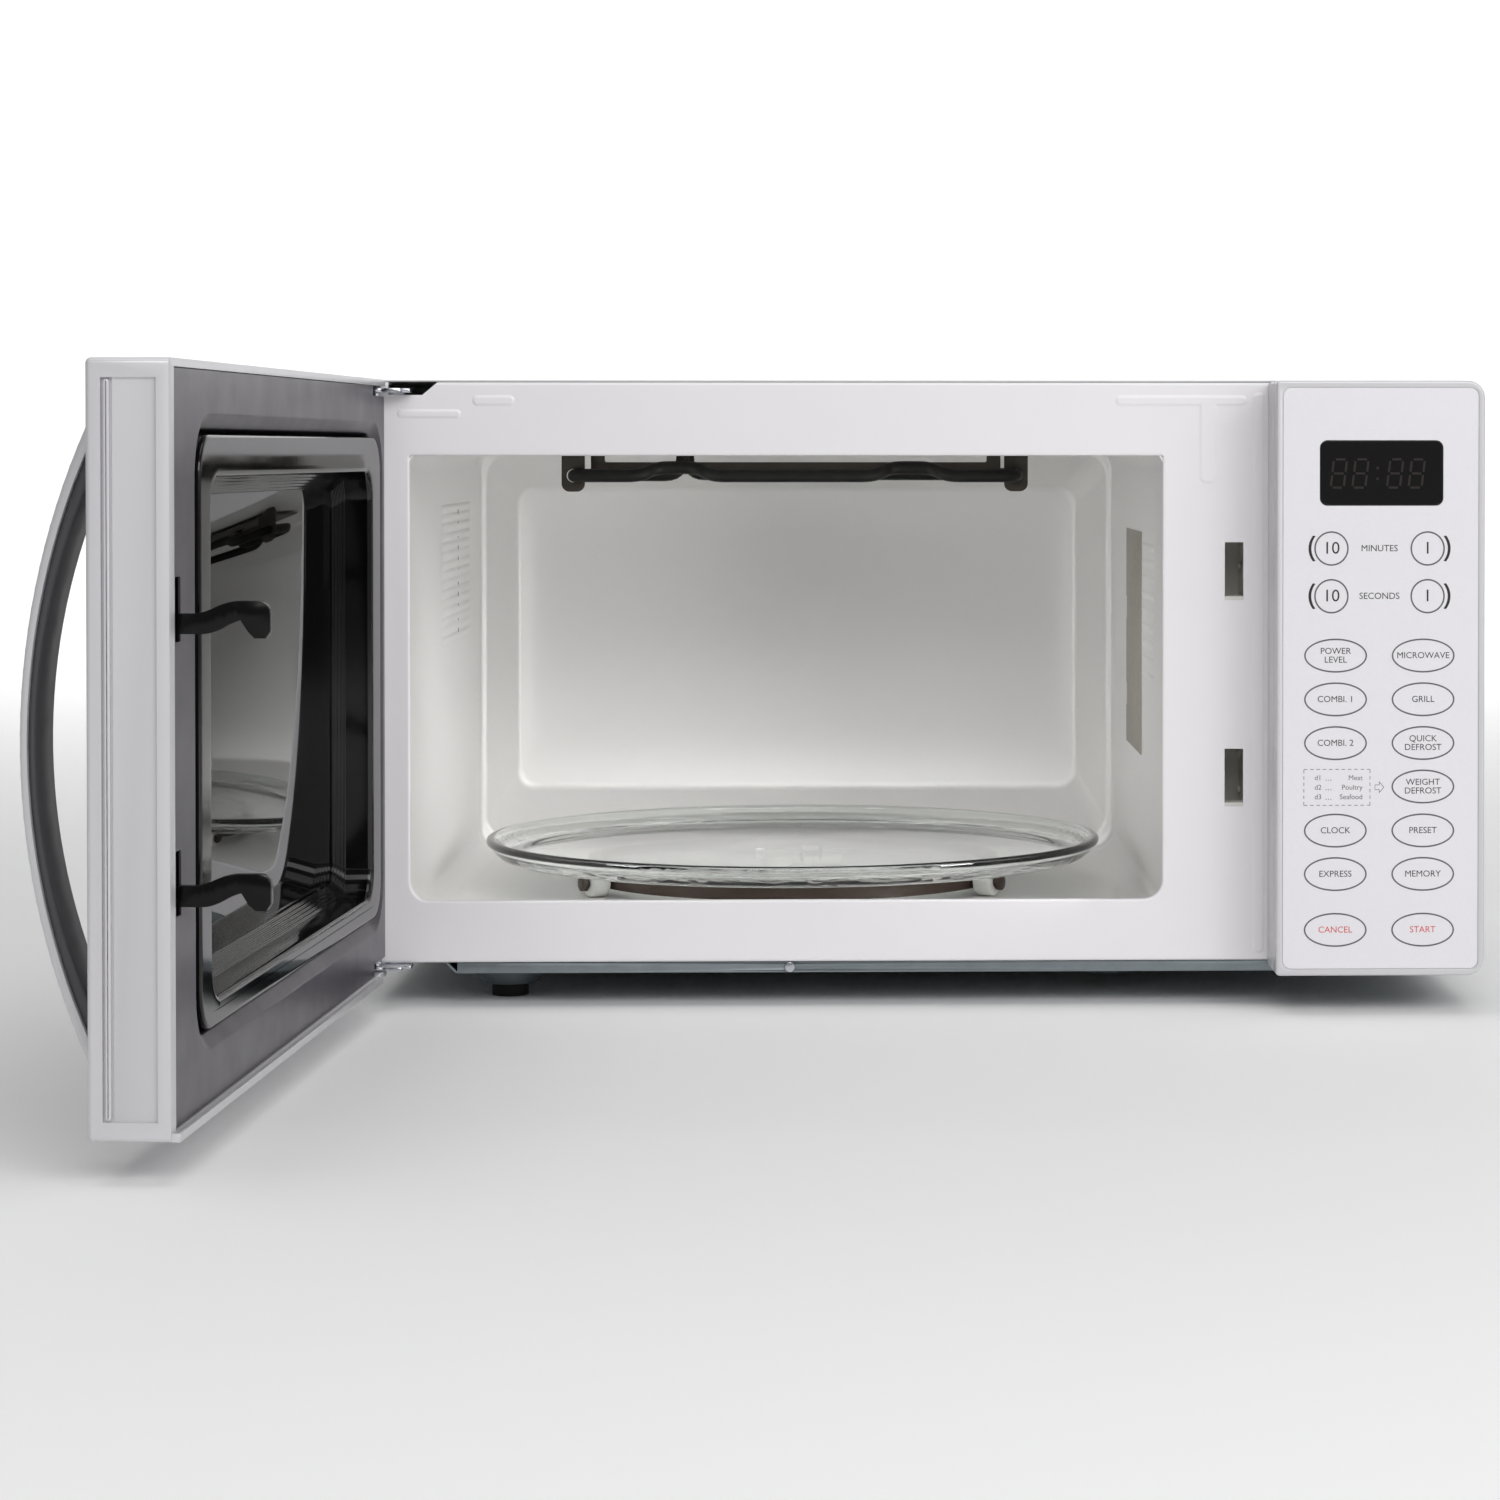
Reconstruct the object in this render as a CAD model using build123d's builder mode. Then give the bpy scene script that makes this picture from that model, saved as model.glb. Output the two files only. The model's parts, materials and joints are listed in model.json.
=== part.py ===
"""Countertop microwave oven with a grill, in millimetres.

+X is the user's right, +Y runs from the front to the back, +Z is up.  The drawing puts x = 0 and
y = 0 at the middle of the cabinet, and save() moves each piece so that the origin of the files is
on the floor, under the middle of the whole object with its door open.  Depths are counted
backwards from the front frame, so what stands proud of the frame has a negative depth.
"""

import os

from build123d import *

# Driving dimensions
WIDTH = 518.0  # cabinet, door and control panel, side to side
DEPTH = 400.0  # front frame to the back of the case
CASE_TOP = 294.0
BASE_Z = 16.0  # underside of the base plate
SHEET = 0.8  # body sheet metal
FRONT = -DEPTH / 2
HALF = WIDTH / 2

FRAME_TOP, FRAME_BOTTOM = 293.0, 21.3
FRAME_RIGHT = 168.0
OPENING_X, OPENING_Z = (-239.6, 112.8), (50.2, 258.6)
CAVITY_X, CAVITY_Z = (-240.6, 113.8), (37.5, 263.0)
CAVITY_DEPTH = 345.0
PAN_DRAW = 30.0  # how much deeper the back's drawn panel is
FLOOR_SPLIT = 56.0  # seam between the floor pan and the cavity's upper shell

SLOT_X = (142.1, 150.9)
SLOTS_Z = ((93.7, 120.9), (190.8, 218.0))

PANEL_X, PANEL_Z = (162.4, 259.0), (18.5, 293.3)
PANEL_PROUD = 34.0

TABLE_X, TABLE_DEPTH = -63.0, 176.0
TRAY_R, TRAY_BOTTOM, TRAY_RIM = 157.5, 52.1, 63.6
WHEEL_R, WHEEL_MID_R = 7.0, 113.0

DOOR_X, DOOR_Z = (-259.0, 161.0), (16.0, 294.0)
DOOR_GAP, DOOR_THICK = 3.5, 30.0
DOOR_OPEN = 93.3  # degrees from shut to the pose the oven is stored in
HINGE_X, HINGE_DEPTH = -254.5, -7.5
PIN_R, PIN_CLEARANCE = 2.45, 0.05
WINDOW_S, WINDOW_Z, WINDOW_R = (33.0, 353.0), (57.0, 251.0), 13.0
RIM_S, RIM_Z, RIM_R = (12.4, 371.0), (46.5, 267.0), 16.0
LATCH_X = (143.3, 148.3)

FAN_X, FAN_Z, FAN_DEPTH, FAN_R = 190.0, 190.0, 322.0, 46.0

# From the cabinet's middle to the middle of the whole object, whose open door stands out.
CENTRE_SHIFT = (37.4, 211.3, 0.0)

os.makedirs("parts", exist_ok=True)
HINGE = Axis((HINGE_X, FRONT + HINGE_DEPTH, 0), (0, 0, 1))


def facing(depth):
    """Upright plane at a depth behind the front frame, seen from the front."""
    return Plane.XZ.offset(-(FRONT + depth))


def within(door_depth):
    """Upright plane inside the shut door, counted outwards from its inner face."""
    return facing(-DOOR_GAP - door_depth)


def along(pair):
    """Span on the door, from distances along it to X with the door shut."""
    return (DOOR_X[0] + pair[0], DOOR_X[0] + pair[1])


def block(x, depth, z, mode=Mode.ADD):
    """Box between two limits in X, depth and Z, put into the part being built."""
    mid = ((x[0] + x[1]) / 2, FRONT + (depth[0] + depth[1]) / 2, (z[0] + z[1]) / 2)
    with Locations(mid):
        Box(x[1] - x[0], depth[1] - depth[0], z[1] - z[0], mode=mode)


def outline(x, z, radius, mode=Mode.ADD):
    """Rectangle between limits, with round corners, put into the sketch being built."""
    with Locations(((x[0] + x[1]) / 2, (z[0] + z[1]) / 2)):
        RectangleRounded(x[1] - x[0], z[1] - z[0], radius, mode=mode)


def grown(pair, margin):
    """The same span with a margin added at both ends."""
    return (pair[0] - margin, pair[1] + margin)


def upright_peg(x, depth, z, radius, mode=Mode.ADD):
    """Vertical cylinder between two heights, put into the part being built."""
    with Locations((x, FRONT + depth, (z[0] + z[1]) / 2)):
        Cylinder(radius, z[1] - z[0], mode=mode)


def level_peg(x, depth, z, radius, mode=Mode.ADD):
    """Cylinder that runs front to back, put into the part being built."""
    with Locations((x, FRONT + (depth[0] + depth[1]) / 2, z)):
        Cylinder(radius, depth[1] - depth[0], rotation=(90, 0, 0), mode=mode)


def cross_peg(x, depth, z, radius, mode=Mode.ADD):
    """Cylinder that runs side to side, put into the part being built."""
    with Locations(((x[0] + x[1]) / 2, FRONT + depth, z)):
        Cylinder(radius, x[1] - x[0], rotation=(0, 90, 0), mode=mode)


def save(part, name):
    """Move a finished piece to the files' origin, label it and write it to its own file."""
    part = part.translate(CENTRE_SHIFT)
    part.label = name
    export_step(part, f"parts/{name}.step")


def save_on_door(part, name):
    """Swing a piece drawn on the shut door to the stored pose, then write it."""
    save(part.rotate(HINGE, -DOOR_OPEN), name)


# ------------------------------------------------------------------ cabinet sheet metal

# Stiffening beads pressed out of the front frame
BEADS = (
    ((91.0, 152.0), (282.4, 286.6)),
    ((130.5, 138.0), (246.0, 282.4)),
    ((-245.0, -216.0), (276.5, 280.0)),
    ((-210.0, -191.0), (282.4, 286.6)),
    ((155.6, 160.6), (25.0, 288.0)),
)

# Front frame: the enamelled plate round the oven's mouth, with a return flange all round.
with BuildPart() as front_frame:
    with BuildSketch(facing(1.0)):
        outline((-HALF + 1, FRAME_RIGHT), (FRAME_BOTTOM, FRAME_TOP), 5.0)
        with BuildLine():
            Polyline((-249.4, 295), (-249.4, 287), (-233.5, 287), (-224.0, 295), close=True)
        make_face(mode=Mode.SUBTRACT)
    extrude(amount=1.0)
    with BuildSketch(facing(14.0)):
        outline((-HALF + 1, FRAME_RIGHT), (FRAME_BOTTOM, FRAME_TOP), 5.0)
        outline((-HALF + 2, FRAME_RIGHT - 1), (FRAME_BOTTOM - 9, FRAME_TOP - 1), 4.0, Mode.SUBTRACT)
        outline((-252.0, -220.0), (284.0, 297.0), 1.0, Mode.SUBTRACT)
    extrude(amount=13.0)
    # The opening's lower corners are round; its upper corners are nearly square.
    with BuildSketch(facing(1.0)):
        outline(OPENING_X, OPENING_Z, 9.0)
        outline(OPENING_X, (OPENING_Z[1] - 30, OPENING_Z[1]), 0.8)
    extrude(amount=1.0, mode=Mode.SUBTRACT)
    for slot_z in SLOTS_Z:
        block(SLOT_X, (-1, 2), slot_z, Mode.SUBTRACT)
    for bead_x, bead_z in BEADS:
        block(bead_x, (-0.5, 0), bead_z)
save(front_frame.part, "front_frame")

# Cavity: a wrapped upper shell, a drawn floor pan and a drawn back, spot-welded together.
with BuildPart() as cavity_tube:
    with BuildSketch(facing(CAVITY_DEPTH)):
        outline(grown(CAVITY_X, SHEET), grown(CAVITY_Z, SHEET), 12.0 + SHEET)
        outline(CAVITY_X, CAVITY_Z, 12.0, Mode.SUBTRACT)
    extrude(amount=CAVITY_DEPTH - 1)

MICA_DEPTH, MICA_Z = (135.0, 231.0), (107.0, 220.0)
GUIDE_DEPTH, GUIDE_Z = (147.0, 219.0), (118.0, 209.0)
GRILL_POSTS = ((-120.0, 175.0), (-120.0, 240.0))
LEFT_VENT_DEPTH, LEFT_VENT_Z = 216.0, (161.0, 235.0)
RIGHT_VENT_DEPTH, RIGHT_VENT_Z = (60.0, 130.0), (144.0, 217.0)

with BuildPart() as cavity_shell:
    add(cavity_tube.part)
    block((-300, 300), (0, 400), (0, FLOOR_SPLIT), Mode.SUBTRACT)
    block((CAVITY_X[1] - 1, CAVITY_X[1] + 2), GUIDE_DEPTH, GUIDE_Z, Mode.SUBTRACT)
    for row in range(11):
        hole_z = LEFT_VENT_Z[0] + 6 + row * 6.2
        cross_peg((-243, -239), LEFT_VENT_DEPTH, hole_z, 1.6, Mode.SUBTRACT)
    for row in range(9):
        for column in range(6):
            hole = (RIGHT_VENT_DEPTH[0] + 8 + column * 11, RIGHT_VENT_Z[0] + 5 + row * 8)
            cross_peg((112, 116), hole[0], hole[1], 1.6, Mode.SUBTRACT)
    for post_x, post_depth in GRILL_POSTS:
        upright_peg(post_x, post_depth, (260, 266), 5.0, Mode.SUBTRACT)
save(cavity_shell.part, "cavity_shell")

with BuildPart() as cavity_floor:
    add(cavity_tube.part)
    block((-300, 300), (0, 400), (FLOOR_SPLIT, 300), Mode.SUBTRACT)
    with BuildSketch(facing(1.0 + SHEET)):
        outline(CAVITY_X, (CAVITY_Z[0], FLOOR_SPLIT + 30), 12.0)
        outline(OPENING_X, OPENING_Z, 9.0, Mode.SUBTRACT)
        with Locations((0, 100)):
            Rectangle(600, 2 * (100 - FLOOR_SPLIT), mode=Mode.SUBTRACT)
    extrude(amount=SHEET)
    upright_peg(TABLE_X, TABLE_DEPTH, (36, 38), 8.0, Mode.SUBTRACT)
save(cavity_floor.part, "cavity_floor")

PAN_OUTER_X, PAN_OUTER_Z = (-237.4, 108.4), (53.2, 255.2)
PAN_INNER_X, PAN_INNER_Z = (-221.5, 93.9), (70.8, 238.6)
with BuildPart() as cavity_back:
    with BuildSketch(facing(CAVITY_DEPTH + SHEET)):
        outline(grown(CAVITY_X, SHEET), grown(CAVITY_Z, SHEET), 12.0 + SHEET)
    extrude(amount=SHEET)
    with BuildSketch(facing(CAVITY_DEPTH)):
        outline(grown(PAN_OUTER_X, SHEET), grown(PAN_OUTER_Z, SHEET), 16.0)
    with BuildSketch(facing(CAVITY_DEPTH + PAN_DRAW + SHEET)):
        outline(grown(PAN_INNER_X, SHEET), grown(PAN_INNER_Z, SHEET), 12.0)
    loft()
    with BuildSketch(facing(CAVITY_DEPTH)):
        outline(PAN_OUTER_X, PAN_OUTER_Z, 16.0)
    with BuildSketch(facing(CAVITY_DEPTH + PAN_DRAW)):
        outline(PAN_INNER_X, PAN_INNER_Z, 12.0)
    loft(mode=Mode.SUBTRACT)
save(cavity_back.part, "cavity_back")

# Outer case: one folded sheet over the top and down both sides, with louvred vents.
with BuildPart() as outer_case:
    with BuildSketch(facing(DEPTH)):
        outline((-HALF, HALF), (-40, CASE_TOP), 5.0)
        outline((-HALF + SHEET, HALF - SHEET), (-60, CASE_TOP - SHEET), 4.2, Mode.SUBTRACT)
    extrude(amount=DEPTH - 1.2)
    block((-300, 300), (-10, 500), (-60, BASE_Z + 0.5), Mode.SUBTRACT)
    for side in (-HALF, HALF):
        for row in range(8):
            for start in (250.0, 300.0):
                if side < 0 or start > 250 or row > 1:
                    block((side - 2, side + 2), (start, start + 36), (170 + row * 9, 173 + row * 9),
                          Mode.SUBTRACT)
save(outer_case.part, "outer_case")

REAR_FACE = DEPTH - 1.2
GLAND_X, GLAND_Z = 226.0, 62.0
REAR_SCREWS = ((-246.0, 280.0), (0.0, 284.0), (246.0, 280.0), (-246.0, 60.0), (246.0, 110.0))
with BuildPart() as rear_panel:
    with BuildSketch(facing(REAR_FACE)):
        outline((-257.8, 257.8), (17.2, 292.8), 5.0)
    extrude(amount=SHEET)
    for row in range(10):
        for column in range(3):
            vent_x = FAN_X - 33 + column * 33
            block((vent_x - 12, vent_x + 12), (380, 420), (150 + row * 8.5, 153.5 + row * 8.5),
                  Mode.SUBTRACT)
    level_peg(GLAND_X, (380, 420), GLAND_Z, 8.0, Mode.SUBTRACT)
    for screw_x, screw_z in REAR_SCREWS:
        level_peg(screw_x, (380, 420), screw_z, 2.0, Mode.SUBTRACT)
save(rear_panel.part, "rear_panel")

# Base plate: a pan with drawn domes that carry the feet; its left strip is stepped up.
FEET = ((-197.0, 45.0), (192.0, 135.0), (-197.0, 345.0), (192.0, 345.0))
DOME_BOTTOM = 6.3
BASE_SCREW = (-62.2, 18.6)
with BuildPart() as base_plate:
    with BuildSketch(facing(396.0)):
        with BuildLine():
            Polyline(
                (-258, 34), (-258, 23), (-226, 23), (-219, 16), (258, 16), (258, 34),
                (257, 34), (257, 17), (-218.6, 17), (-225.6, 24), (-257, 24), (-257, 34),
                close=True,
            )
        make_face()
    extrude(amount=396.0 - 3.2)
    block((-218, 258), (2.2, 3.2), (16, 21.0))
    block((-259, -256.5), (0, 14.6), (20, 40), Mode.SUBTRACT)
    for foot_x, foot_depth in FEET:
        with Locations((foot_x, FRONT + foot_depth, (DOME_BOTTOM + BASE_Z) / 2)):
            Cone(13.0, 22.0, BASE_Z - DOME_BOTTOM)
        with Locations((foot_x, FRONT + foot_depth, (DOME_BOTTOM + BASE_Z) / 2 + 1)):
            Cone(12.2, 21.2, BASE_Z - DOME_BOTTOM, mode=Mode.SUBTRACT)
        upright_peg(foot_x, foot_depth, (5, 9), 3.0, Mode.SUBTRACT)
    with Locations((92.0, FRONT + 60, 12)):
        Cone(11.0, 15.0, 8.0)
    with Locations((92.0, FRONT + 60, 13)):
        Cone(10.2, 14.2, 8.0, mode=Mode.SUBTRACT)
    for row in range(6):
        block((60, 130), (250 + row * 12, 256 + row * 12), (10, 20), Mode.SUBTRACT)
    level_peg(BASE_SCREW[0], (0, 4), BASE_SCREW[1], 1.3, Mode.SUBTRACT)
save(base_plate.part, "base_plate")

with BuildPart() as base_screw:
    level_peg(BASE_SCREW[0], (0.9, 2.2), BASE_SCREW[1], 2.3)
    level_peg(BASE_SCREW[0], (2.2, 10.0), BASE_SCREW[1], 1.3)
save(base_screw.part, "base_screw")

with BuildPart() as rubber_feet:
    for foot_x, foot_depth in FEET:
        upright_peg(foot_x, foot_depth, (0, DOME_BOTTOM), 8.75)
        upright_peg(foot_x, foot_depth, (DOME_BOTTOM, 9.5), 3.0)
save(rubber_feet.part, "rubber_feet")

# ------------------------------------------------------------------ hinge brackets

TAB_REACH = 6.0
UPPER_TAB_Z, LOWER_TAB_Z = (288.0, 290.0), (19.4, 21.0)
for name, tab_z, leg_z in (
    ("upper_hinge_bracket", UPPER_TAB_Z, (262.0, 290.0)),
    ("lower_hinge_bracket", LOWER_TAB_Z, (19.4, 62.0)),
):
    with BuildPart() as bracket:
        block((HINGE_X, HINGE_X + 16), (HINGE_DEPTH, -0.6), tab_z)
        block((-249.0, HINGE_X + 16), (-1, 3), tab_z)
        upright_peg(HINGE_X, HINGE_DEPTH, tab_z, TAB_REACH)
        block((-250.0, -242.2), (HINGE_DEPTH - TAB_REACH, HINGE_DEPTH), tab_z)
        block((HINGE_X - 2, -242.2), (1, 3), leg_z)
        upright_peg(HINGE_X, HINGE_DEPTH, grown(tab_z, 1), PIN_R + PIN_CLEARANCE, Mode.SUBTRACT)
    save(bracket.part, name)

# ------------------------------------------------------------------ inside the cavity

with BuildPart() as mica_cover:
    block((113.2, 113.8), MICA_DEPTH, MICA_Z)
    for notch_z in ((126.0, 138.0), (172.0, 184.0)):
        block((113, 114), (MICA_DEPTH[1] - 3, MICA_DEPTH[1] + 1), notch_z, Mode.SUBTRACT)
save(mica_cover.part, "mica_cover")

GRILL_Z, GRILL_FRONT, GRILL_BACK, GRILL_R = 248.5, 112.0, 240.0, 3.25
GRILL_JOG = (GRILL_FRONT + 10.0, GRILL_Z + 4.0)  # depth and height of the two jogs
with BuildPart() as grill_element:
    with BuildLine():
        FilletPolyline(
            *(
                (x, FRONT + depth, z)
                for x, depth, z in (
                    (-120, 175, 274), (-120, 175, GRILL_Z), (-172, 175, GRILL_Z),
                    (-172, GRILL_FRONT, GRILL_Z), (-138, GRILL_FRONT, GRILL_Z),
                    (-131, *GRILL_JOG), (-110, *GRILL_JOG), (-103, GRILL_FRONT, GRILL_Z),
                    (-21, GRILL_FRONT, GRILL_Z), (-14, *GRILL_JOG), (7, *GRILL_JOG),
                    (14, GRILL_FRONT, GRILL_Z), (50, GRILL_FRONT, GRILL_Z),
                    (50, GRILL_BACK, GRILL_Z), (-120, GRILL_BACK, GRILL_Z),
                    (-120, GRILL_BACK, 274),
                )
            ),
            radius=5.0,
        )
    with BuildSketch(Plane(origin=(-120, FRONT + 175, 274), z_dir=(0, 0, -1))):
        Circle(GRILL_R)
    sweep()
save(grill_element.part, "grill_element")

# Each bracket is a tab under the ceiling with a hole that the element passes through.
with BuildPart() as grill_brackets:
    for tab_x, tab_depth in (((-177.8, -166.2), (118, 119)), ((44.0, 56.0), (134, 135))):
        with BuildSketch(facing(tab_depth[1])):
            outline(tab_x, (240.5, 262.9), 4.0)
        extrude(amount=1.0)
        level_peg((tab_x[0] + tab_x[1]) / 2, grown(tab_depth, 1), GRILL_Z, GRILL_R + 0.05,
                  Mode.SUBTRACT)
save(grill_brackets.part, "grill_brackets")

with BuildPart() as grill_reflector:
    block((-160, 40), (130, 230), (260.4, 261.2))
    with BuildSketch(facing(130.8)):
        outline((-164, 42), (250.4, 261.2), 2.0)
        outline((-157, 35), (255.2, 260.4), 1.0, Mode.SUBTRACT)
    extrude(amount=SHEET)
    for post_x, post_depth in GRILL_POSTS:
        upright_peg(post_x, post_depth, (255, 270), 6.0, Mode.SUBTRACT)
save(grill_reflector.part, "grill_reflector")

# ------------------------------------------------------------------ turntable

with BuildPart() as turntable_motor:
    upright_peg(TABLE_X, TABLE_DEPTH, (20.5, 36.7), 24.5)
    block((TABLE_X - 32, TABLE_X + 32), (TABLE_DEPTH - 6, TABLE_DEPTH + 6), (35.7, 36.7))
    upright_peg(TABLE_X, TABLE_DEPTH, (24, 40), 3.55, Mode.SUBTRACT)
save(turntable_motor.part, "turntable_motor")

with BuildPart() as motor_shaft:
    upright_peg(TABLE_X, TABLE_DEPTH, (24.3, 46), 3.5)
save(motor_shaft.part, "motor_shaft")

TABLE_CENTRE = (TABLE_X, FRONT + TABLE_DEPTH)
COUPLER_BOTTOM, COUPLER_TOP = 40.0, 49.0
with BuildPart() as drive_coupler:
    with BuildSketch(Plane.XY.offset(COUPLER_BOTTOM)):
        with Locations(TABLE_CENTRE):
            Circle(10.0)
            with PolarLocations(0, 3):
                with Locations((13, 0)):
                    SlotOverall(28, 8)
    extrude(amount=COUPLER_TOP - COUPLER_BOTTOM)
    upright_peg(TABLE_X, TABLE_DEPTH, (39, 46), 3.5, Mode.SUBTRACT)
save(drive_coupler.part, "drive_coupler")

# Glass tray: a flat plate with an upturned rim, and lugs below that sit between the arms.
with BuildPart() as glass_tray:
    with BuildSketch(Plane.XZ):
        with BuildLine():
            Polyline((0, 56.1), (0, TRAY_BOTTOM), (144, TRAY_BOTTOM))
            Spline((144, TRAY_BOTTOM), (152.5, 56.0), (TRAY_R, 61.2), tangents=((1, 0), (0.2, 1)))
            ThreePointArc((TRAY_R, 61.2), (156.2, TRAY_RIM), (153.6, 62.2))
            Spline((153.6, 62.2), (149, 58.6), (140, 56.1), tangents=((-0.4, -1), (-1, 0)))
            Line((140, 56.1), (0, 56.1))
        make_face()
    revolve(axis=Axis.Z)
    with BuildSketch(Plane.XY.offset(45.0)):
        with PolarLocations(18.0, 3, start_angle=60):
            Rectangle(5, 12)
    extrude(amount=TRAY_BOTTOM - 45.0)
save(glass_tray.part.translate((*TABLE_CENTRE, 0)), "glass_tray")

# Roller ring: a band with three stub axles; each wheel turns on its own axle.
WHEEL_Z = CAVITY_Z[0] + 0.3 + WHEEL_R
WHEEL_ANGLES = (90.0, 210.0, 330.0)
AXLE_R = 2.4
with BuildPart() as roller_ring:
    with BuildSketch(Plane.XY.offset(WHEEL_Z - 3.5)):
        with Locations(TABLE_CENTRE):
            Circle(106.0)
            Circle(99.5, mode=Mode.SUBTRACT)
    extrude(amount=7.0)
    for angle in WHEEL_ANGLES:
        spoke = Plane(
            origin=(*TABLE_CENTRE, WHEEL_Z), x_dir=(0, 0, 1), z_dir=Vector(1, 0, 0).rotate(Axis.Z, angle)
        )
        with BuildSketch(spoke.offset(103.0)):
            Circle(AXLE_R)
        extrude(amount=18.5)
        with BuildSketch(spoke.offset(119.0)):
            Circle(3.8)
        extrude(amount=2.5)
save(roller_ring.part, "roller_ring")

for number, angle in enumerate(WHEEL_ANGLES, start=1):
    spoke = Plane(
        origin=(*TABLE_CENTRE, WHEEL_Z), x_dir=(0, 0, 1), z_dir=Vector(1, 0, 0).rotate(Axis.Z, angle)
    )
    with BuildPart() as roller_wheel:
        with BuildSketch(spoke.offset(WHEEL_MID_R - 5.0)):
            Circle(WHEEL_R)
            Circle(AXLE_R + PIN_CLEARANCE, mode=Mode.SUBTRACT)
        extrude(amount=10.0)
        chamfer(roller_wheel.edges().filter_by(GeomType.CIRCLE).group_by(SortBy.RADIUS)[-1], 0.8)
    save(roller_wheel.part, f"roller_wheel_{number}")

# ------------------------------------------------------------------ latch side of the cabinet

# Latch board: the plastic housing behind the slots, with one pocket for each hook.
POCKET_X = (140.5, 152.5)
POCKETS_Z = ((88.0, 123.5), (187.0, 220.5))
SWITCH_DEPTH = (15.5, 38.5)
SWITCHES = (
    ("primary_switch", 206.0), ("monitor_switch", 99.0), ("secondary_switch", 115.5),
)
PLUNGER_R, PLUNGER_DEPTH = 1.6, 30.0
with BuildPart() as latch_board:
    block((134.0, 158.0), (1.0, 40.0), (84.0, 226.0))
    block((137.0, 158.0), (3.0, 38.0), (127.0, 183.0), Mode.SUBTRACT)
    for pocket_z in POCKETS_Z:
        block(POCKET_X, (0, 37.5), pocket_z, Mode.SUBTRACT)
    for slot_z in SLOTS_Z:
        # Strike: the step at the foot of each slot that the hook drops behind.
        block(POCKET_X, (1.0, 15.0), (slot_z[0] - 4.0, slot_z[0] + 1.8))
    for _, switch_z in SWITCHES:
        cross_peg((152, 159), PLUNGER_DEPTH, switch_z, PLUNGER_R + PIN_CLEARANCE, Mode.SUBTRACT)
save(latch_board.part, "latch_board")

for switch_name, switch_z in SWITCHES:
    with BuildPart() as switch:
        block((158.0, 168.0), SWITCH_DEPTH, (switch_z - 7.5, switch_z + 7.5))
        cross_peg((157.5, 162.5), PLUNGER_DEPTH, switch_z, PLUNGER_R + PIN_CLEARANCE, Mode.SUBTRACT)
        for terminal in (19.0, 27.0, 35.0):
            block((168.0, 175.0), (terminal - 2.4, terminal + 2.4), (switch_z - 0.4, switch_z + 0.4))
    save(switch.part, switch_name)
    with BuildPart() as plunger:
        cross_peg((151.2, 160.5), PLUNGER_DEPTH, switch_z, PLUNGER_R)
    save(plunger.part, switch_name.replace("switch", "plunger"))

# ------------------------------------------------------------------ control panel

PANEL_FACE = -PANEL_PROUD
WINDOW_PANEL_X, WINDOW_PANEL_Z = (182.5, 239.6), (235.6, 265.8)
with BuildPart() as panel_housing:
    with BuildSketch(facing(0)) as panel_outline:
        with Locations((sum(PANEL_X) / 2, sum(PANEL_Z) / 2)):
            Rectangle(PANEL_X[1] - PANEL_X[0], PANEL_Z[1] - PANEL_Z[0])
        fillet(panel_outline.vertices().group_by(Axis.X)[0], 2.0)
        fillet(panel_outline.vertices().group_by(Axis.X)[-1], 8.0)
    extrude(amount=PANEL_PROUD)
    fillet(panel_housing.faces().sort_by(Axis.Y)[0].edges(), 1.2)
    block((PANEL_X[0] + 2.5, PANEL_X[1] - 2.5), (PANEL_FACE + 3, 1), (PANEL_Z[0] + 2.5, PANEL_Z[1] - 2.5),
          Mode.SUBTRACT)
    block((160, PANEL_X[0] + 1), (PANEL_FACE + 9, PANEL_FACE + 11), (10, 300), Mode.SUBTRACT)
    with BuildSketch(facing(PANEL_FACE + 0.5)):
        outline((165.2, 256.2), (21.5, 290.3), 4.0)
    extrude(amount=2.0, mode=Mode.SUBTRACT)
    with BuildSketch(facing(PANEL_FACE + 4)):
        outline(WINDOW_PANEL_X, WINDOW_PANEL_Z, 3.5)
    extrude(amount=6.0, mode=Mode.SUBTRACT)
save(panel_housing.part, "panel_housing")

with BuildPart() as keypad_film:
    with BuildSketch(facing(PANEL_FACE + 0.5)):
        outline((165.6, 255.8), (21.9, 289.9), 3.8)
        outline(WINDOW_PANEL_X, WINDOW_PANEL_Z, 3.5, Mode.SUBTRACT)
    extrude(amount=0.5)
save(keypad_film.part, "keypad_film")

with BuildPart() as display_window:
    with BuildSketch(facing(PANEL_FACE + 3)):
        outline(WINDOW_PANEL_X, WINDOW_PANEL_Z, 3.5)
    extrude(amount=2.9)
save(display_window.part, "display_window")

with BuildPart() as display_module:
    block((184, 238), (PANEL_FACE + 3, PANEL_FACE + 9), (238, 263.5))
save(display_module.part, "display_module")

with BuildPart() as control_board:
    block((170, 252), (PANEL_FACE + 14, PANEL_FACE + 15.6), (60, 280))
    block((184, 238), (PANEL_FACE + 9, PANEL_FACE + 14), (246, 256))
    for relay_z in (80.0, 104.0, 128.0):
        block((178, 194), (PANEL_FACE + 15.6, PANEL_FACE + 30), (relay_z, relay_z + 18))
    block((204, 242), (PANEL_FACE + 15.6, PANEL_FACE + 31), (84, 118))
save(control_board.part, "control_board")

# ------------------------------------------------------------------ right-hand compartment

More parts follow.
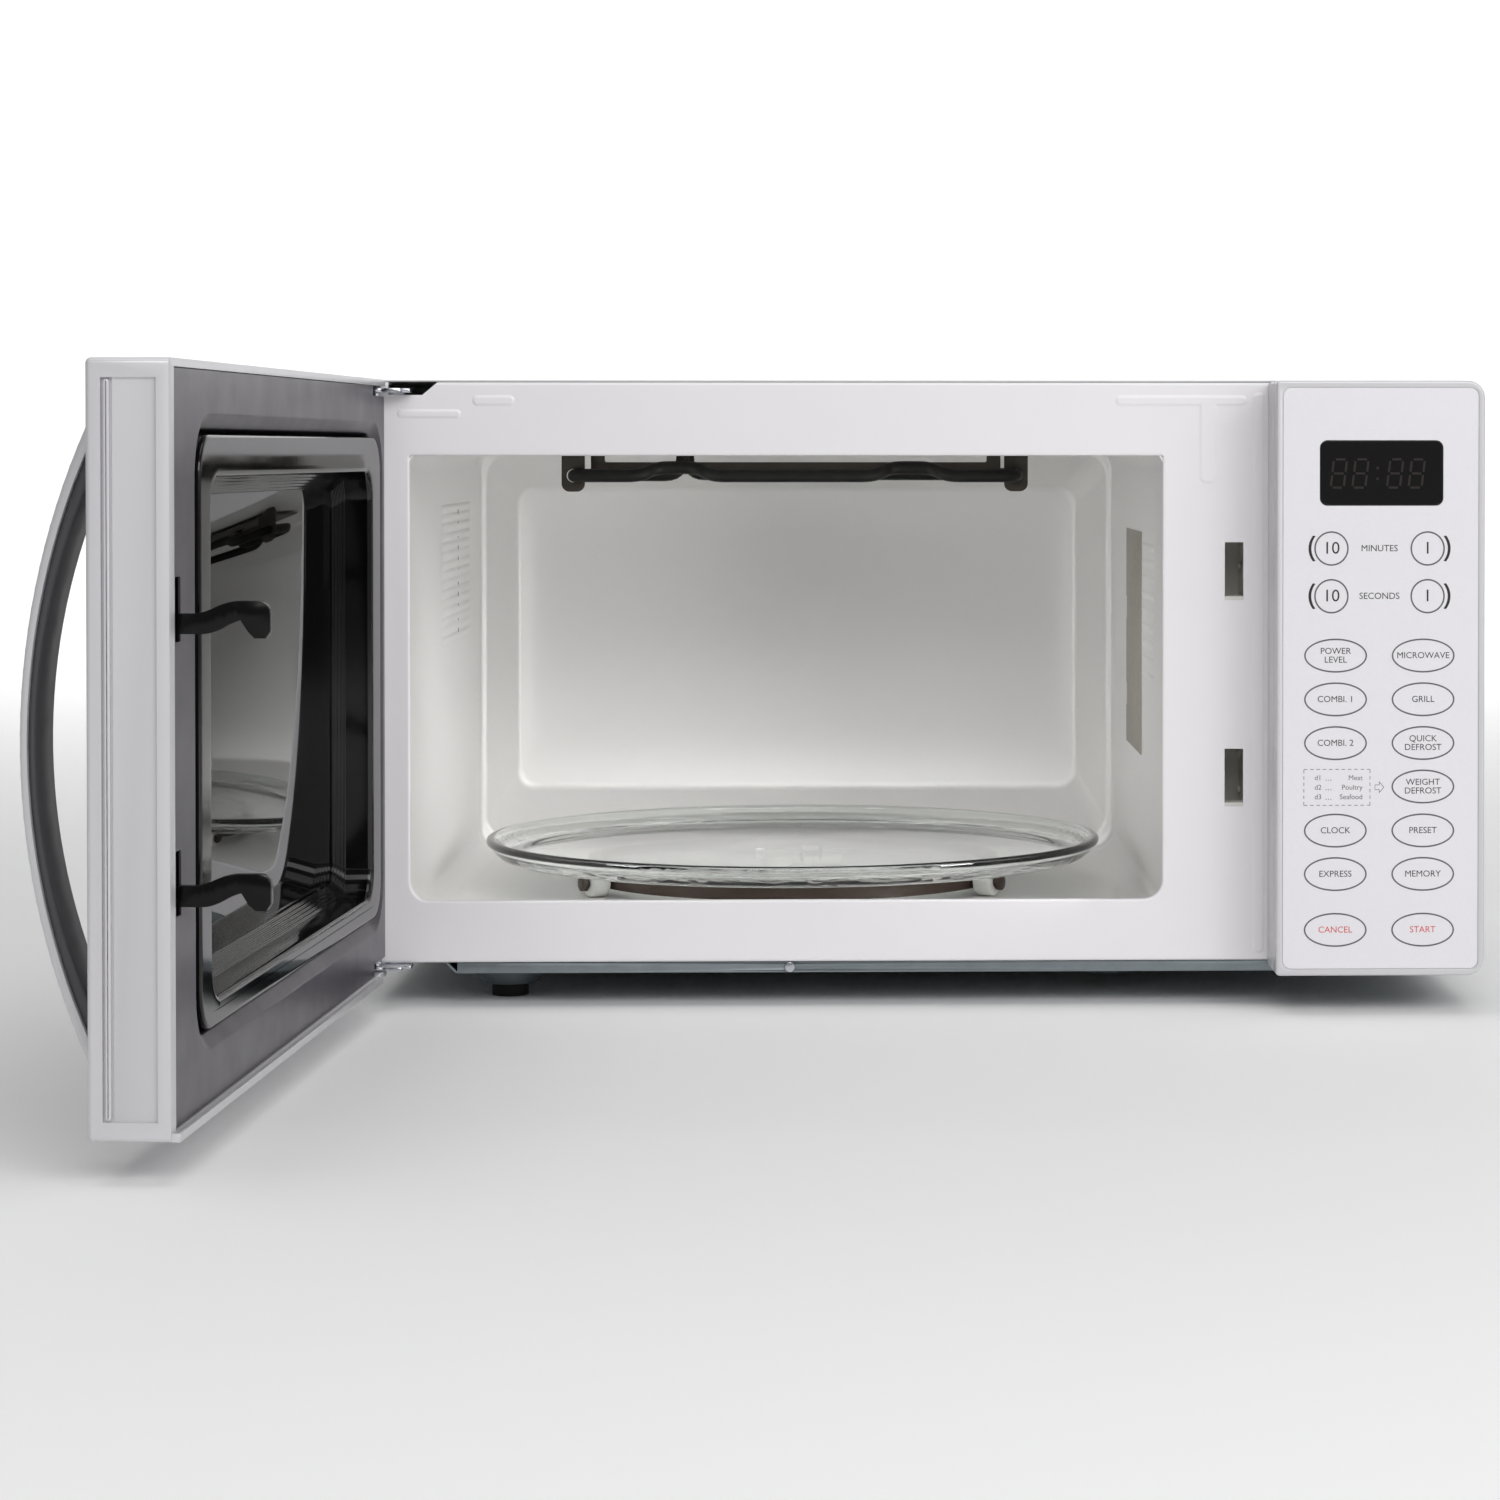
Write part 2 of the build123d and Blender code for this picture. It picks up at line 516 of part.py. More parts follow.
CHANNEL_X = (CAVITY_X[1] + SHEET, 152.0)
TUBE_DEPTH, TUBE_Z = 183.0, 190.0
with BuildPart() as waveguide:
    block(CHANNEL_X, (138.0, 228.0), (110.0, 238.0))
    block((CHANNEL_X[0] - 1, CHANNEL_X[1] - 1), (139.0, 227.0), (111.0, 237.0), Mode.SUBTRACT)
    cross_peg((150, 154), TUBE_DEPTH, TUBE_Z, 8.0, Mode.SUBTRACT)
save(waveguide.part, "waveguide")

with BuildPart() as magnetron:
    block((152.0, 212.0), (143.0, 223.0), (150.0, 230.0))
    block((154.0, 210.0), (130.0, 240.0), (153.0, 227.0), Mode.SUBTRACT)
    cross_peg((130, 226), TUBE_DEPTH, TUBE_Z, 7.0)
    cross_peg((153, 211), TUBE_DEPTH, TUBE_Z, 20.0)
    for fin in range(6):
        block((161 + fin * 8.0, 162 + fin * 8.0), (145.0, 221.0), (152.0, 228.0))
    block((212.0, 234.0), (158.0, 208.0), (165.0, 215.0))
save(magnetron.part, "magnetron")

CORE_X, CORE_DEPTH, CORE_Z = (165.0, 245.0), (58.0, 118.0), (17.0, 85.0)
with BuildPart() as transformer_core:
    block(CORE_X, CORE_DEPTH, CORE_Z)
    for window_z in ((30.0, 43.0), (59.0, 72.0)):
        block((178, 232), (50, 130), window_z, Mode.SUBTRACT)
save(transformer_core.part, "transformer_core")

with BuildPart() as transformer_windings:
    with BuildSketch(Plane.YZ.offset(180.0)):
        with Locations((FRONT + 88, 51)):
            RectangleRounded(94, 41.6, 12)
            Rectangle(60.2, 16.2, mode=Mode.SUBTRACT)
    extrude(amount=22.0)
    with BuildSketch(Plane.YZ.offset(208.0)):
        with Locations((FRONT + 88, 51)):
            RectangleRounded(94, 41.6, 12)
            Rectangle(60.2, 16.2, mode=Mode.SUBTRACT)
    extrude(amount=22.0)
save(transformer_windings.part, "transformer_windings")

with BuildPart() as capacitor:
    with BuildSketch(Plane.YZ.offset(150.0)):
        with Locations((FRONT + 262, 34.0)):
            SlotOverall(54, 34)
    extrude(amount=92.0)
    for terminal in (252.0, 272.0):
        block((242.0, 249.0), (terminal - 3, terminal + 3), (34.6, 35.4))
save(capacitor.part, "capacitor")

with BuildPart() as hv_diode:
    level_peg(140.0, (250, 272), 22.0, 3.5)
    block((139.6, 140.4), (244, 278), (17.0, 22.0))
save(hv_diode.part, "hv_diode")

FAN_MOTOR_DEPTH = (348.0, 372.0)
with BuildPart() as fan_shroud:
    block((134, 248), (337.0, 338.2), (130, 250))
    level_peg(FAN_X, (330, 345), FAN_Z, FAN_R + 3, Mode.SUBTRACT)
    for arm_z in (FAN_Z - 24, FAN_Z + 20):
        block((134, 137), (338.2, FAN_MOTOR_DEPTH[1]), (arm_z, arm_z + 4))
        block((134, FAN_X - 22), (FAN_MOTOR_DEPTH[0] + 8, FAN_MOTOR_DEPTH[0] + 16), (arm_z, arm_z + 4))
    block((114.6, 134), (337.0, 338.2), (140, 240))
save(fan_shroud.part, "fan_shroud")

with BuildPart() as fan_motor:
    block((FAN_X - 22, FAN_X + 28), FAN_MOTOR_DEPTH, (FAN_Z - 25, FAN_Z + 25))
    level_peg(FAN_X, (340, 348), FAN_Z, 8.0)
    level_peg(FAN_X, (339, 366), FAN_Z, 2.05, Mode.SUBTRACT)
save(fan_motor.part, "fan_motor")

with BuildPart() as fan_blade:
    level_peg(FAN_X, (FAN_DEPTH - 6, FAN_DEPTH + 8), FAN_Z, 11.0)
    level_peg(FAN_X, (FAN_DEPTH, 365.0), FAN_Z, 2.0)
    for blade in range(5):
        radial = Vector(1, 0, 0).rotate(Axis.Y, blade * 72.0)
        normal = Vector(0, -1, 0).rotate(Axis((0, 0, 0), radial), 28.0)
        hub = Plane(origin=(FAN_X, FRONT + FAN_DEPTH + 1, FAN_Z), x_dir=radial, z_dir=normal)
        with BuildSketch(hub.offset(-0.6)):
            with BuildLine():
                Polyline((8, -5), (8, 5))
                ThreePointArc((8, 5), (28, 13), (42, 12))
                ThreePointArc((42, 12), (45, 0), (42, -12))
                ThreePointArc((42, -12), (28, -11), (8, -5))
            make_face()
        extrude(amount=1.2)
save(fan_blade.part, "fan_blade")

with BuildPart() as filter_board:
    block((120, 200), (270, 320), (264.5, 266.1))
    block((126, 150), (276, 300), (266.1, 282))
    block((160, 176), (278, 296), (266.1, 276))
    block((182, 192), (276, 304), (266.1, 274))
    for post_x in (122.5, 197.5):
        block((post_x - 2, post_x + 2), (294, 298), (252, 264.5))
    block((114.6, 200), (292, 300), (251, 252))
save(filter_board.part, "filter_board")

with BuildPart() as cavity_lamp:
    block((114.6, 116), (70, 120), (150, 210))
    level_peg(136.0, (98, 118), 180.0, 8.0)
    with Locations((136.0, FRONT + 86, 180.0)):
        Sphere(11.0)
    block((116, 130), (108, 112), (176, 184))
    block((114, 117), (74, 104), (160, 200), Mode.SUBTRACT)
save(cavity_lamp.part, "cavity_lamp")

with BuildPart() as thermal_cutout:
    upright_peg(-40.0, 150.0, (263.8, 266.0), 12.0)
    upright_peg(-40.0, 150.0, (266.0, 272.0), 7.5)
    for side in (-1, 1):
        block((-40.4 + side * 5, -39.6 + side * 5), (147, 153), (272, 279))
save(thermal_cutout.part, "thermal_cutout")

with BuildPart() as cord_gland:
    level_peg(GLAND_X, (REAR_FACE - SHEET - 4, REAR_FACE), GLAND_Z, 8.0)
    level_peg(GLAND_X, (REAR_FACE, REAR_FACE + 1.2), GLAND_Z, 10.5)
    level_peg(GLAND_X, (380, 402), GLAND_Z, 3.6, Mode.SUBTRACT)
save(cord_gland.part, "cord_gland")

with BuildPart() as case_screws:
    for screw_x, screw_z in REAR_SCREWS:
        level_peg(screw_x, (REAR_FACE - 8, REAR_FACE), screw_z, 2.0)
        level_peg(screw_x, (REAR_FACE, REAR_FACE + 1.2), screw_z, 4.0)
save(case_screws.part, "case_screws")

# ------------------------------------------------------------------ door, drawn shut

DOOR_DEPTH = (-DOOR_GAP - DOOR_THICK, -DOOR_GAP)
WALL = 3.0
FACE_S, FACE_Z = (0.4, 411.4), (DOOR_Z[0] + WALL + 0.2, DOOR_Z[1] - WALL - 0.2)
POCKETS = ((DOOR_Z[0] + WALL, 24.5), (286.5, DOOR_Z[1] - WALL))
POCKET_S, POCKET_T = 25.0, 12.0
GLASS_S, GLASS_Z = (30.0, 356.0), (52.0, 258.0)
PINS_Z = ((17.5, 34.0), (277.0, 292.5))


def door_depth(inner, outer):
    """Depth span of a layer of the shut door, counted outwards from its inner face."""
    return (-DOOR_GAP - outer, -DOOR_GAP - inner)


with BuildPart() as door_shell:
    with BuildSketch(within(0)):
        outline(DOOR_X, DOOR_Z, 2.0)
    extrude(amount=DOOR_THICK)
    fillet(door_shell.faces().sort_by(Axis.Y)[0].edges(), 2.0)
    block(along((WALL, 417.0)), door_depth(-1, DOOR_THICK - 2.5), grown(DOOR_Z, -WALL), Mode.SUBTRACT)
    # The hinge side stays open at the inner face, and the free side has a flat rim.
    block(along((-1, WALL + 1)), door_depth(-1, 2.0), grown(DOOR_Z, -WALL), Mode.SUBTRACT)
    block(along((412.0, 417.5)), door_depth(0, 2.5), grown(DOOR_Z, -WALL))
    # Lip along the foot, with a channel in it.
    block(along((POCKET_S, 418.5)), door_depth(-3.0, 0.5), (DOOR_Z[0], DOOR_Z[0] + WALL))
    block(along((POCKET_S + 3, 416)), door_depth(-1.8, -0.2), (DOOR_Z[0] + 1.6, DOOR_Z[0] + WALL + 1),
          Mode.SUBTRACT)
    # Recessed end panel between two lips, with a seam groove beside the outer lip.
    block(along((418.6, 421)), door_depth(4.5, 24.4), grown(DOOR_Z, -7.0), Mode.SUBTRACT)
    block(along((417.9, 421)), door_depth(20.5, 24.4), grown(DOOR_Z, -7.0), Mode.SUBTRACT)
    # Bosses that hold the hinge pins, above and below the bracket pockets.
    for boss_z in ((24.5, 36.0), (275.0, 286.5)):
        block(along((0.5, 11)), door_depth(1.8, 12), boss_z)
    for pocket_z in POCKETS:
        block(along((-1, POCKET_S)), door_depth(-1, POCKET_T), pocket_z, Mode.SUBTRACT)
    for pin_z in PINS_Z:
        upright_peg(HINGE_X, HINGE_DEPTH, pin_z, PIN_R, Mode.SUBTRACT)
    # Window mouth and the seat of the outer pane.
    with BuildSketch(within(DOOR_THICK - 3)):
        outline(along(grown(GLASS_S, -4)), grown(GLASS_Z, -4), 12.0)
    extrude(amount=4.0, mode=Mode.SUBTRACT)
    with BuildSketch(within(DOOR_THICK - 1.4)):
        outline(along(GLASS_S), GLASS_Z, 14.0)
    extrude(amount=2.0, mode=Mode.SUBTRACT)
save_on_door(door_shell.part, "door_shell")

with BuildPart() as door_outer_pane:
    with BuildSketch(within(DOOR_THICK - 1.4)):
        outline(along(grown(GLASS_S, -0.2)), grown(GLASS_Z, -0.2), 13.8)
    extrude(amount=1.2)
save_on_door(door_outer_pane.part, "door_outer_pane")

# Door plate: the steel pressing inside the door, with the deep choke pan round the window.
PAN_S, PAN_Z, PAN_T = grown(RIM_S, 2.0), grown(RIM_Z, 2.0), 23.0
SCREEN_S, SCREEN_Z = (48.0, 338.0), (72.0, 236.0)
LATCH_SLOTS_Z = ((94.6, 118.0), (192.6, 216.0))
with BuildPart() as door_plate:
    with BuildSketch(within(0.6)):
        outline(along(FACE_S), FACE_Z, 1.0)
    extrude(amount=SHEET)
    with BuildSketch(within(0.6)):
        outline(along(PAN_S), PAN_Z, RIM_R + 2)
    extrude(amount=PAN_T - 0.6)
    with BuildSketch(within(0)):
        outline(along(grown(PAN_S, -1)), grown(PAN_Z, -1), RIM_R + 1)
    extrude(amount=PAN_T - 1, mode=Mode.SUBTRACT)
    with BuildSketch(within(0)):
        outline(along(SCREEN_S), SCREEN_Z, 8.0)
    extrude(amount=PAN_T + 1, mode=Mode.SUBTRACT)
    for slot_z in LATCH_SLOTS_Z:
        block(along((400.8, 408.8)), door_depth(0, 2), slot_z, Mode.SUBTRACT)
    for pocket_z in POCKETS:
        block(along((-1, POCKET_S + 3)), door_depth(0, 2), grown(pocket_z, 0.4), Mode.SUBTRACT)
save_on_door(door_plate.part, "door_plate")

with BuildPart() as door_screen:
    with BuildSketch(within(PAN_T)):
        outline(along(grown(SCREEN_S, 4)), grown(SCREEN_Z, 4), 8.0)
    extrude(amount=0.5)
save_on_door(door_screen.part, "door_screen")

# Choke cover: the glossy frame that fills the pan, stepped down to the inner pane.
STEPS, STEP_T, COVER_T = 5, 1.0, 13.0
with BuildPart() as choke_cover:
    with BuildSketch(within(0.2)):
        outline(along(RIM_S), RIM_Z, RIM_R)
    extrude(amount=2.0)
    with BuildSketch(within(0.2)):
        outline(along(grown(WINDOW_S, 2)), grown(WINDOW_Z, 2), WINDOW_R + 2)
    extrude(amount=COVER_T + STEPS * STEP_T - 0.2)
    with BuildSketch(within(0)):
        outline(along(WINDOW_S), WINDOW_Z, WINDOW_R)
    extrude(amount=COVER_T, mode=Mode.SUBTRACT)
    for step in range(STEPS):
        inset = -1.3 * (step + 1)
        with BuildSketch(within(COVER_T + step * STEP_T - 0.1)):
            outline(along(grown(WINDOW_S, inset)), grown(WINDOW_Z, inset), WINDOW_R + inset / 2)
        extrude(amount=STEP_T + 0.2, mode=Mode.SUBTRACT)
save_on_door(choke_cover.part, "choke_cover")

with BuildPart() as door_inner_pane:
    with BuildSketch(within(COVER_T + STEPS * STEP_T)):
        outline(along(grown(WINDOW_S, 1)), grown(WINDOW_Z, 1), WINDOW_R)
    extrude(amount=3.0)
save_on_door(door_inner_pane.part, "door_inner_pane")

# Handle: a bowed strap, silver outside, with a dark grip let into its inner side.
HANDLE_S, HANDLE_MID_Z = (368.0, 395.0), 155.0
HANDLE_ARCS = ((128.5, 31.0), (119.0, 28.0), (105.5, 25.0))  # half chord, rise

HANDLE_FOOT = Plane(
    origin=(DOOR_X[0] + HANDLE_S[0], FRONT + DOOR_DEPTH[0], 0), x_dir=(0, 1, 0), z_dir=(1, 0, 0)
)
for handle_name, outer, inner, margin in (
    ("door_handle", HANDLE_ARCS[0], HANDLE_ARCS[1], 0.0),
    ("handle_grip", HANDLE_ARCS[1], HANDLE_ARCS[2], 1.5),
):
    with BuildPart() as strap:
        with BuildSketch(HANDLE_FOOT.offset(margin)):
            with BuildLine():
                # The crescent between two arcs that stand on the door's outer face.
                (outer_half, outer_rise), (inner_half, inner_rise) = outer, inner
                mid = HANDLE_MID_Z
                ThreePointArc((0, mid - outer_half), (-outer_rise, mid), (0, mid + outer_half))
                Line((0, mid + outer_half), (0, mid + inner_half))
                ThreePointArc((0, mid + inner_half), (-inner_rise, mid), (0, mid - inner_half))
                Line((0, mid - inner_half), (0, mid - outer_half))
            make_face()
        extrude(amount=HANDLE_S[1] - HANDLE_S[0] - 2 * margin)
        if not margin:
            fillet(strap.faces().sort_by(Axis.Y)[:1].edges().filter_by(GeomType.CIRCLE), 2.0)
    save_on_door(strap.part, handle_name)

# Latch: one lever inside the door with two hooks that reach through the plate's slots.
HOOKS = ((98.1, 105.6, 109.8, 96.8), (195.6, 202.9, 207.4, 194.1))
REACH = 33.0
with BuildPart() as latch_hooks:
    block(LATCH_X, door_depth(4.0, 11.0), (84.0, 222.0))
    for shank_low, shank_high, arch_top, beak_low in HOOKS:
        with BuildSketch(Plane(origin=(LATCH_X[0], FRONT - DOOR_GAP, 0), x_dir=(0, 1, 0), z_dir=(1, 0, 0))):
            with BuildLine():
                Polyline((-5, shank_low), (8, shank_low))
                Spline((8, shank_low), (16, shank_low + 2.2), (22.5, shank_low + 5.0),
                       tangents=((1, 0), (1, 0.2)))
                Polyline((22.5, shank_low + 5.0), (25.0, shank_low + 1.0), (27.5, beak_low),
                         (31.5, beak_low), (REACH, beak_low + 2.5), (REACH, arch_top - 4.5))
                ThreePointArc((REACH, arch_top - 4.5), (31.6, arch_top - 1.2), (28.5, arch_top))
                Line((28.5, arch_top), (22.0, arch_top))
                Spline((22.0, arch_top), (14.0, shank_high + 2.6), (6.0, shank_high),
                       tangents=((-1, 0), (-1, -0.1)))
                Line((6.0, shank_high), (-5, shank_high))
                Line((-5, shank_high), (-5, shank_low))
            make_face()
        extrude(amount=LATCH_X[1] - LATCH_X[0])
    block((LATCH_X[0] - 8, LATCH_X[0]), door_depth(5.0, 10.0), (148.0, 152.0))
save_on_door(latch_hooks.part, "latch_hooks")

SPRING_X, SPRING_R, SPRING_WIRE, SPRING_Z = LATCH_X[0] - 6.0, 2.4, 0.4, (122.0, 147.5)
with BuildPart() as latch_spring:
    with BuildLine():
        Helix(3.0, SPRING_Z[1] - SPRING_Z[0] - 1, SPRING_R,
              center=(SPRING_X, FRONT - DOOR_GAP - 7.5, SPRING_Z[0] + 0.5))
    with BuildSketch(Plane(origin=(SPRING_X + SPRING_R, FRONT - DOOR_GAP - 7.5, SPRING_Z[0] + 0.5),
                           z_dir=(0, 1, 0.2))):
        Circle(SPRING_WIRE)
    sweep(is_frenet=True)
save_on_door(latch_spring.part, "latch_spring")

with BuildPart() as hinge_pins:
    for pin_z in PINS_Z:
        upright_peg(HINGE_X, HINGE_DEPTH, pin_z, PIN_R)
save_on_door(hinge_pins.part, "hinge_pins")
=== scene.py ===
"""Looks of a countertop microwave oven with a grill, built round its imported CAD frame.

Everything is in metres, in the frame's own axes: +X to the user's right, +Y to the back, +Z up.
Sizes that a maker would give in millimetres are written as millimetres times MM.
"""

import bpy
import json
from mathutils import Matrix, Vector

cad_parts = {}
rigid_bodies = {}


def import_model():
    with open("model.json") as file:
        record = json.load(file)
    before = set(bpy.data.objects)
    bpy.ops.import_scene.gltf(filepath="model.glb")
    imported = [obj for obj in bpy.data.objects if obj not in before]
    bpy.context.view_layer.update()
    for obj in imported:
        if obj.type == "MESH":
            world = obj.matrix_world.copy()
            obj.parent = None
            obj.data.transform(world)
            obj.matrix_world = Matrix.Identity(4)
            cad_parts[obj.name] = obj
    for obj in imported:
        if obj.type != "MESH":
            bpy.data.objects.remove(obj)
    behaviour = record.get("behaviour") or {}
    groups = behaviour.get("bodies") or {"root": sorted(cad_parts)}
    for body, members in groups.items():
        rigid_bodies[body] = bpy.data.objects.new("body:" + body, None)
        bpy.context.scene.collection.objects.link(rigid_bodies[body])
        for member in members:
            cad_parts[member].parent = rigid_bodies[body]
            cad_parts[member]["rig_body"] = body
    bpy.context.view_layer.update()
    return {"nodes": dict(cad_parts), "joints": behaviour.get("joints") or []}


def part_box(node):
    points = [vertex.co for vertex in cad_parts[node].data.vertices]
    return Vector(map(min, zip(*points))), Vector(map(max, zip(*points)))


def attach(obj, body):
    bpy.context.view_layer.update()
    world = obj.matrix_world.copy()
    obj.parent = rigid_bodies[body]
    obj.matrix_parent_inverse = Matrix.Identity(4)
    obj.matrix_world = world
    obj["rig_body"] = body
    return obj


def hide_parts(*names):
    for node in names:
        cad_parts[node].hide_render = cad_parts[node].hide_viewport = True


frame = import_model()

import json
import logging
import math
from collections.abc import Callable, Iterable, Sequence
from dataclasses import dataclass, field
from enum import Enum
from typing import ClassVar

import bmesh
import bpy
from mathutils import Matrix, Vector, noise

MM = 0.001
log = logging.getLogger("microwave")

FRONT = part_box("front_frame")[0].y + 0.5 * MM  # face of the front frame, behind its beads
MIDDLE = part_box("panel_housing")[1].x - 259.0 * MM  # halfway across the cabinet
HINGE = Vector(next(j for j in frame["joints"] if j["name"] == "door_hinge")["pos_m"])
DOOR_OPEN = math.radians(
    next(j for j in frame["joints"] if j["name"] == "door_hinge")["range_deg"][1]
)


# ---------------------------------------------------------------- nodes and materials


def linear(code: str) -> tuple[float, float, float, float]:
    """Turns an sRGB hex code into a linear colour.

    Args:
        code: The colour as "#rrggbb".

    Returns:
        Red, green, blue and an alpha of 1.
    """
    parts = [int(code[i : i + 2], 16) / 255 for i in (1, 3, 5)]
    red, green, blue = (p / 12.92 if p <= 0.04045 else ((p + 0.055) / 1.055) ** 2.4 for p in parts)
    return (red, green, blue, 1.0)


def add_node(
    tree: bpy.types.NodeTree, kind: str, inputs: dict | None = None, **settings: object
) -> bpy.types.Node:
    """Adds a node with its settings and links.

    Args:
        tree: The tree that takes the node.
        kind: The node's type name.
        inputs: Socket name or number to a value, or to an output socket to link from.
        settings: Properties of the node itself.

    Returns:
        The new node.
    """
    node = tree.nodes.new(kind)
    for name, value in settings.items():
        setattr(node, name, value)
    for name, value in (inputs or {}).items():
        if isinstance(value, bpy.types.NodeSocket):
            tree.links.new(value, node.inputs[name])
        else:
            node.inputs[name].default_value = value
    return node


class Relief(Enum):
    """What the small relief of a surface looks like."""

    GRAIN = "grain"  # fine bumps, as on powder coat and moulded plastic
    BRUSHED = "brushed"  # fine lines along one axis
    SPANGLE = "spangle"  # flat crystals, as on galvanised sheet


@dataclass(frozen=True)
class Finish:
    """One surface finish, from what it is made of and how its face was made.

    Lengths are in millimetres, and colours are sRGB hex codes.
    """

    name: str
    slot: str
    colour: str
    drift_to: str = ""  # second colour, for slow variation over the surface
    drift_mm: float = 80.0
    roughness: float = 0.4
    rough_spread: float = 0.06
    rough_mm: float = 30.0
    metallic: float = 0.0
    ior: float = 1.5
    relief: Relief = Relief.GRAIN
    relief_mm: float = 0.6
    relief_depth: float = 0.01
    stretch: tuple[float, float, float] = (1.0, 1.0, 1.0)
    coat: float = 0.0
    coat_roughness: float = 0.05
    transmission: float = 0.0

    def material(self) -> bpy.types.Material:
        """Builds the finish's material, or finds the one that was built before.

        Returns:
            The material.
        """
        made = bpy.data.materials.get(self.name)
        if made:
            return made
        made = bpy.data.materials.new(self.name)
        made.use_nodes = True
        tree = made.node_tree
        tree.nodes.clear()
        place = add_node(tree, "ShaderNodeTexCoord").outputs["Object"]
        spread = add_node(
            tree, "ShaderNodeMapping", {"Vector": place, "Scale": self.stretch}
        ).outputs[0]
        shader = add_node(
            tree,
            "ShaderNodeBsdfPrincipled",
            {
                "Base Color": self._colour(tree, place),
                "Roughness": self._roughness(tree, place),
                "Metallic": self.metallic,
                "IOR": self.ior,
                "Coat Weight": self.coat,
                "Coat Roughness": self.coat_roughness,
                "Transmission Weight": self.transmission,
                "Normal": self._relief(tree, spread),
            },
        )
        add_node(tree, "ShaderNodeOutputMaterial", {"Surface": shader.outputs[0]})
        return made

    def _colour(self, tree: bpy.types.NodeTree, place: bpy.types.NodeSocket) -> object:
        """One colour, or a slow drift between two.

        Args:
            tree: The material's nodes.
            place: Where on the object a point is.

        Returns:
            A fixed colour, or the socket that gives one.
        """
        if not self.drift_to:
            return linear(self.colour)
        cloud = add_node(
            tree, "ShaderNodeTexNoise", {"Vector": place, "Scale": 1 / (self.drift_mm * MM), "Detail": 4.0}
        )
        mix = add_node(
            tree, "ShaderNodeMix", {"Factor": cloud.outputs["Fac"]}, data_type="RGBA"
        )
        mix.inputs[6].default_value = linear(self.colour)
        mix.inputs[7].default_value = linear(self.drift_to)
        return mix.outputs[2]

    def _roughness(self, tree: bpy.types.NodeTree, place: bpy.types.NodeSocket) -> object:
        """Roughness that wanders round its middle value.

        Args:
            tree: The material's nodes.
            place: Where on the object a point is.

        Returns:
            A fixed roughness, or the socket that gives one.
        """
        if not self.rough_spread:
            return self.roughness
        cloud = add_node(
            tree, "ShaderNodeTexNoise", {"Vector": place, "Scale": 1 / (self.rough_mm * MM), "Detail": 3.0}
        )
        return add_node(
            tree,
            "ShaderNodeMapRange",
            {
                "Value": cloud.outputs["Fac"],
                "To Min": max(0.0, self.roughness - self.rough_spread),
                "To Max": min(1.0, self.roughness + self.rough_spread),
            },
        ).outputs[0]

    def _relief(self, tree: bpy.types.NodeTree, spread: bpy.types.NodeSocket) -> object:
        """Bump of the finish's own kind.

        Args:
            tree: The material's nodes.
            spread: Where on the object a point is, stretched for brushed lines.

        Returns:
            The socket of the bumped normal.
        """
        scale = 1 / (self.relief_mm * MM)
        if self.relief is Relief.SPANGLE:
            height = add_node(
                tree, "ShaderNodeTexVoronoi", {"Vector": spread, "Scale": scale}
            ).outputs["Color"]
        else:
            height = add_node(
                tree, "ShaderNodeTexNoise", {"Vector": spread, "Scale": scale, "Detail": 2.0}
            ).outputs["Fac"]
        return add_node(
            tree,
            "ShaderNodeBump",
            {"Height": height, "Strength": 0.6, "Distance": self.relief_depth * MM},
        ).outputs[0]


# Polyester powder coat over steel: an even, slightly orange-peeled satin white.
POWDER_WHITE = Finish(
    "powder_coat_white", "enamel_white", "#f0eef0", "#ebe9ec", roughness=0.34, relief_mm=1.6,
    relief_depth=0.02, coat=0.15, coat_roughness=0.2,
)
# Acrylic cavity enamel: glossier and a touch warmer, so it carries soft reflections.
CAVITY_ENAMEL = Finish(
    "cavity_enamel", "cavity_enamel", "#e9e8e5", "#e5e4e0", roughness=0.24, relief_mm=2.2,
    relief_depth=0.012, coat=0.5, coat_roughness=0.06,
)
# Textured powder coat of the outer case.
CASE_COAT = Finish(
    "case_powder_coat", "case_paint", "#e3e3e4", "#dedee0", roughness=0.5, relief_mm=0.9,
    relief_depth=0.05,
)
# Hot-dip galvanised sheet: grey crystals that catch the light unevenly.
GALVANISED = Finish(
    "galvanised_sheet", "zinc_sheet", "#8f979b", "#7c8488", drift_mm=9, roughness=0.38,
    rough_spread=0.14, rough_mm=7, metallic=0.9, relief=Relief.SPANGLE, relief_mm=9, relief_depth=0.01,
)
# Bright zinc plating on small steel parts.
BRIGHT_ZINC = Finish(
    "bright_zinc_plate", "bright_zinc", "#c9cbd0", "#bdbfc6", drift_mm=8, roughness=0.22,
    metallic=1.0, relief_mm=0.5, relief_depth=0.006,
)
# Silver-pigmented ABS, moulded with a fine satin grain.
SILVER_ABS = Finish(
    "silver_abs_moulded", "silver_plastic", "#d3d2d5", "#cdccd0", drift_mm=120, roughness=0.36,
    metallic=0.25, relief_mm=0.35, relief_depth=0.012, coat=0.2, coat_roughness=0.25,
)
# Pearl-silver polycarbonate film of the keypad, with a fine metallic sparkle.
PEARL_FILM = Finish(
    "pearl_film", "panel_silver", "#efedf1", "#e5e3e8", drift_mm=0.5, roughness=0.34,
    rough_spread=0.1, rough_mm=0.4, metallic=0.2, relief_mm=0.3, relief_depth=0.008, coat=0.3,
    coat_roughness=0.15,
)
# Stove enamel on the door pressing: dark satin with a faint vertical streak.
DARK_ENAMEL = Finish(
    "dark_stove_enamel", "door_dark", "#434047", "#544f57", drift_mm=26, roughness=0.32,
    rough_spread=0.08, rough_mm=18, metallic=0.15, relief_mm=1.0, relief_depth=0.012,
)
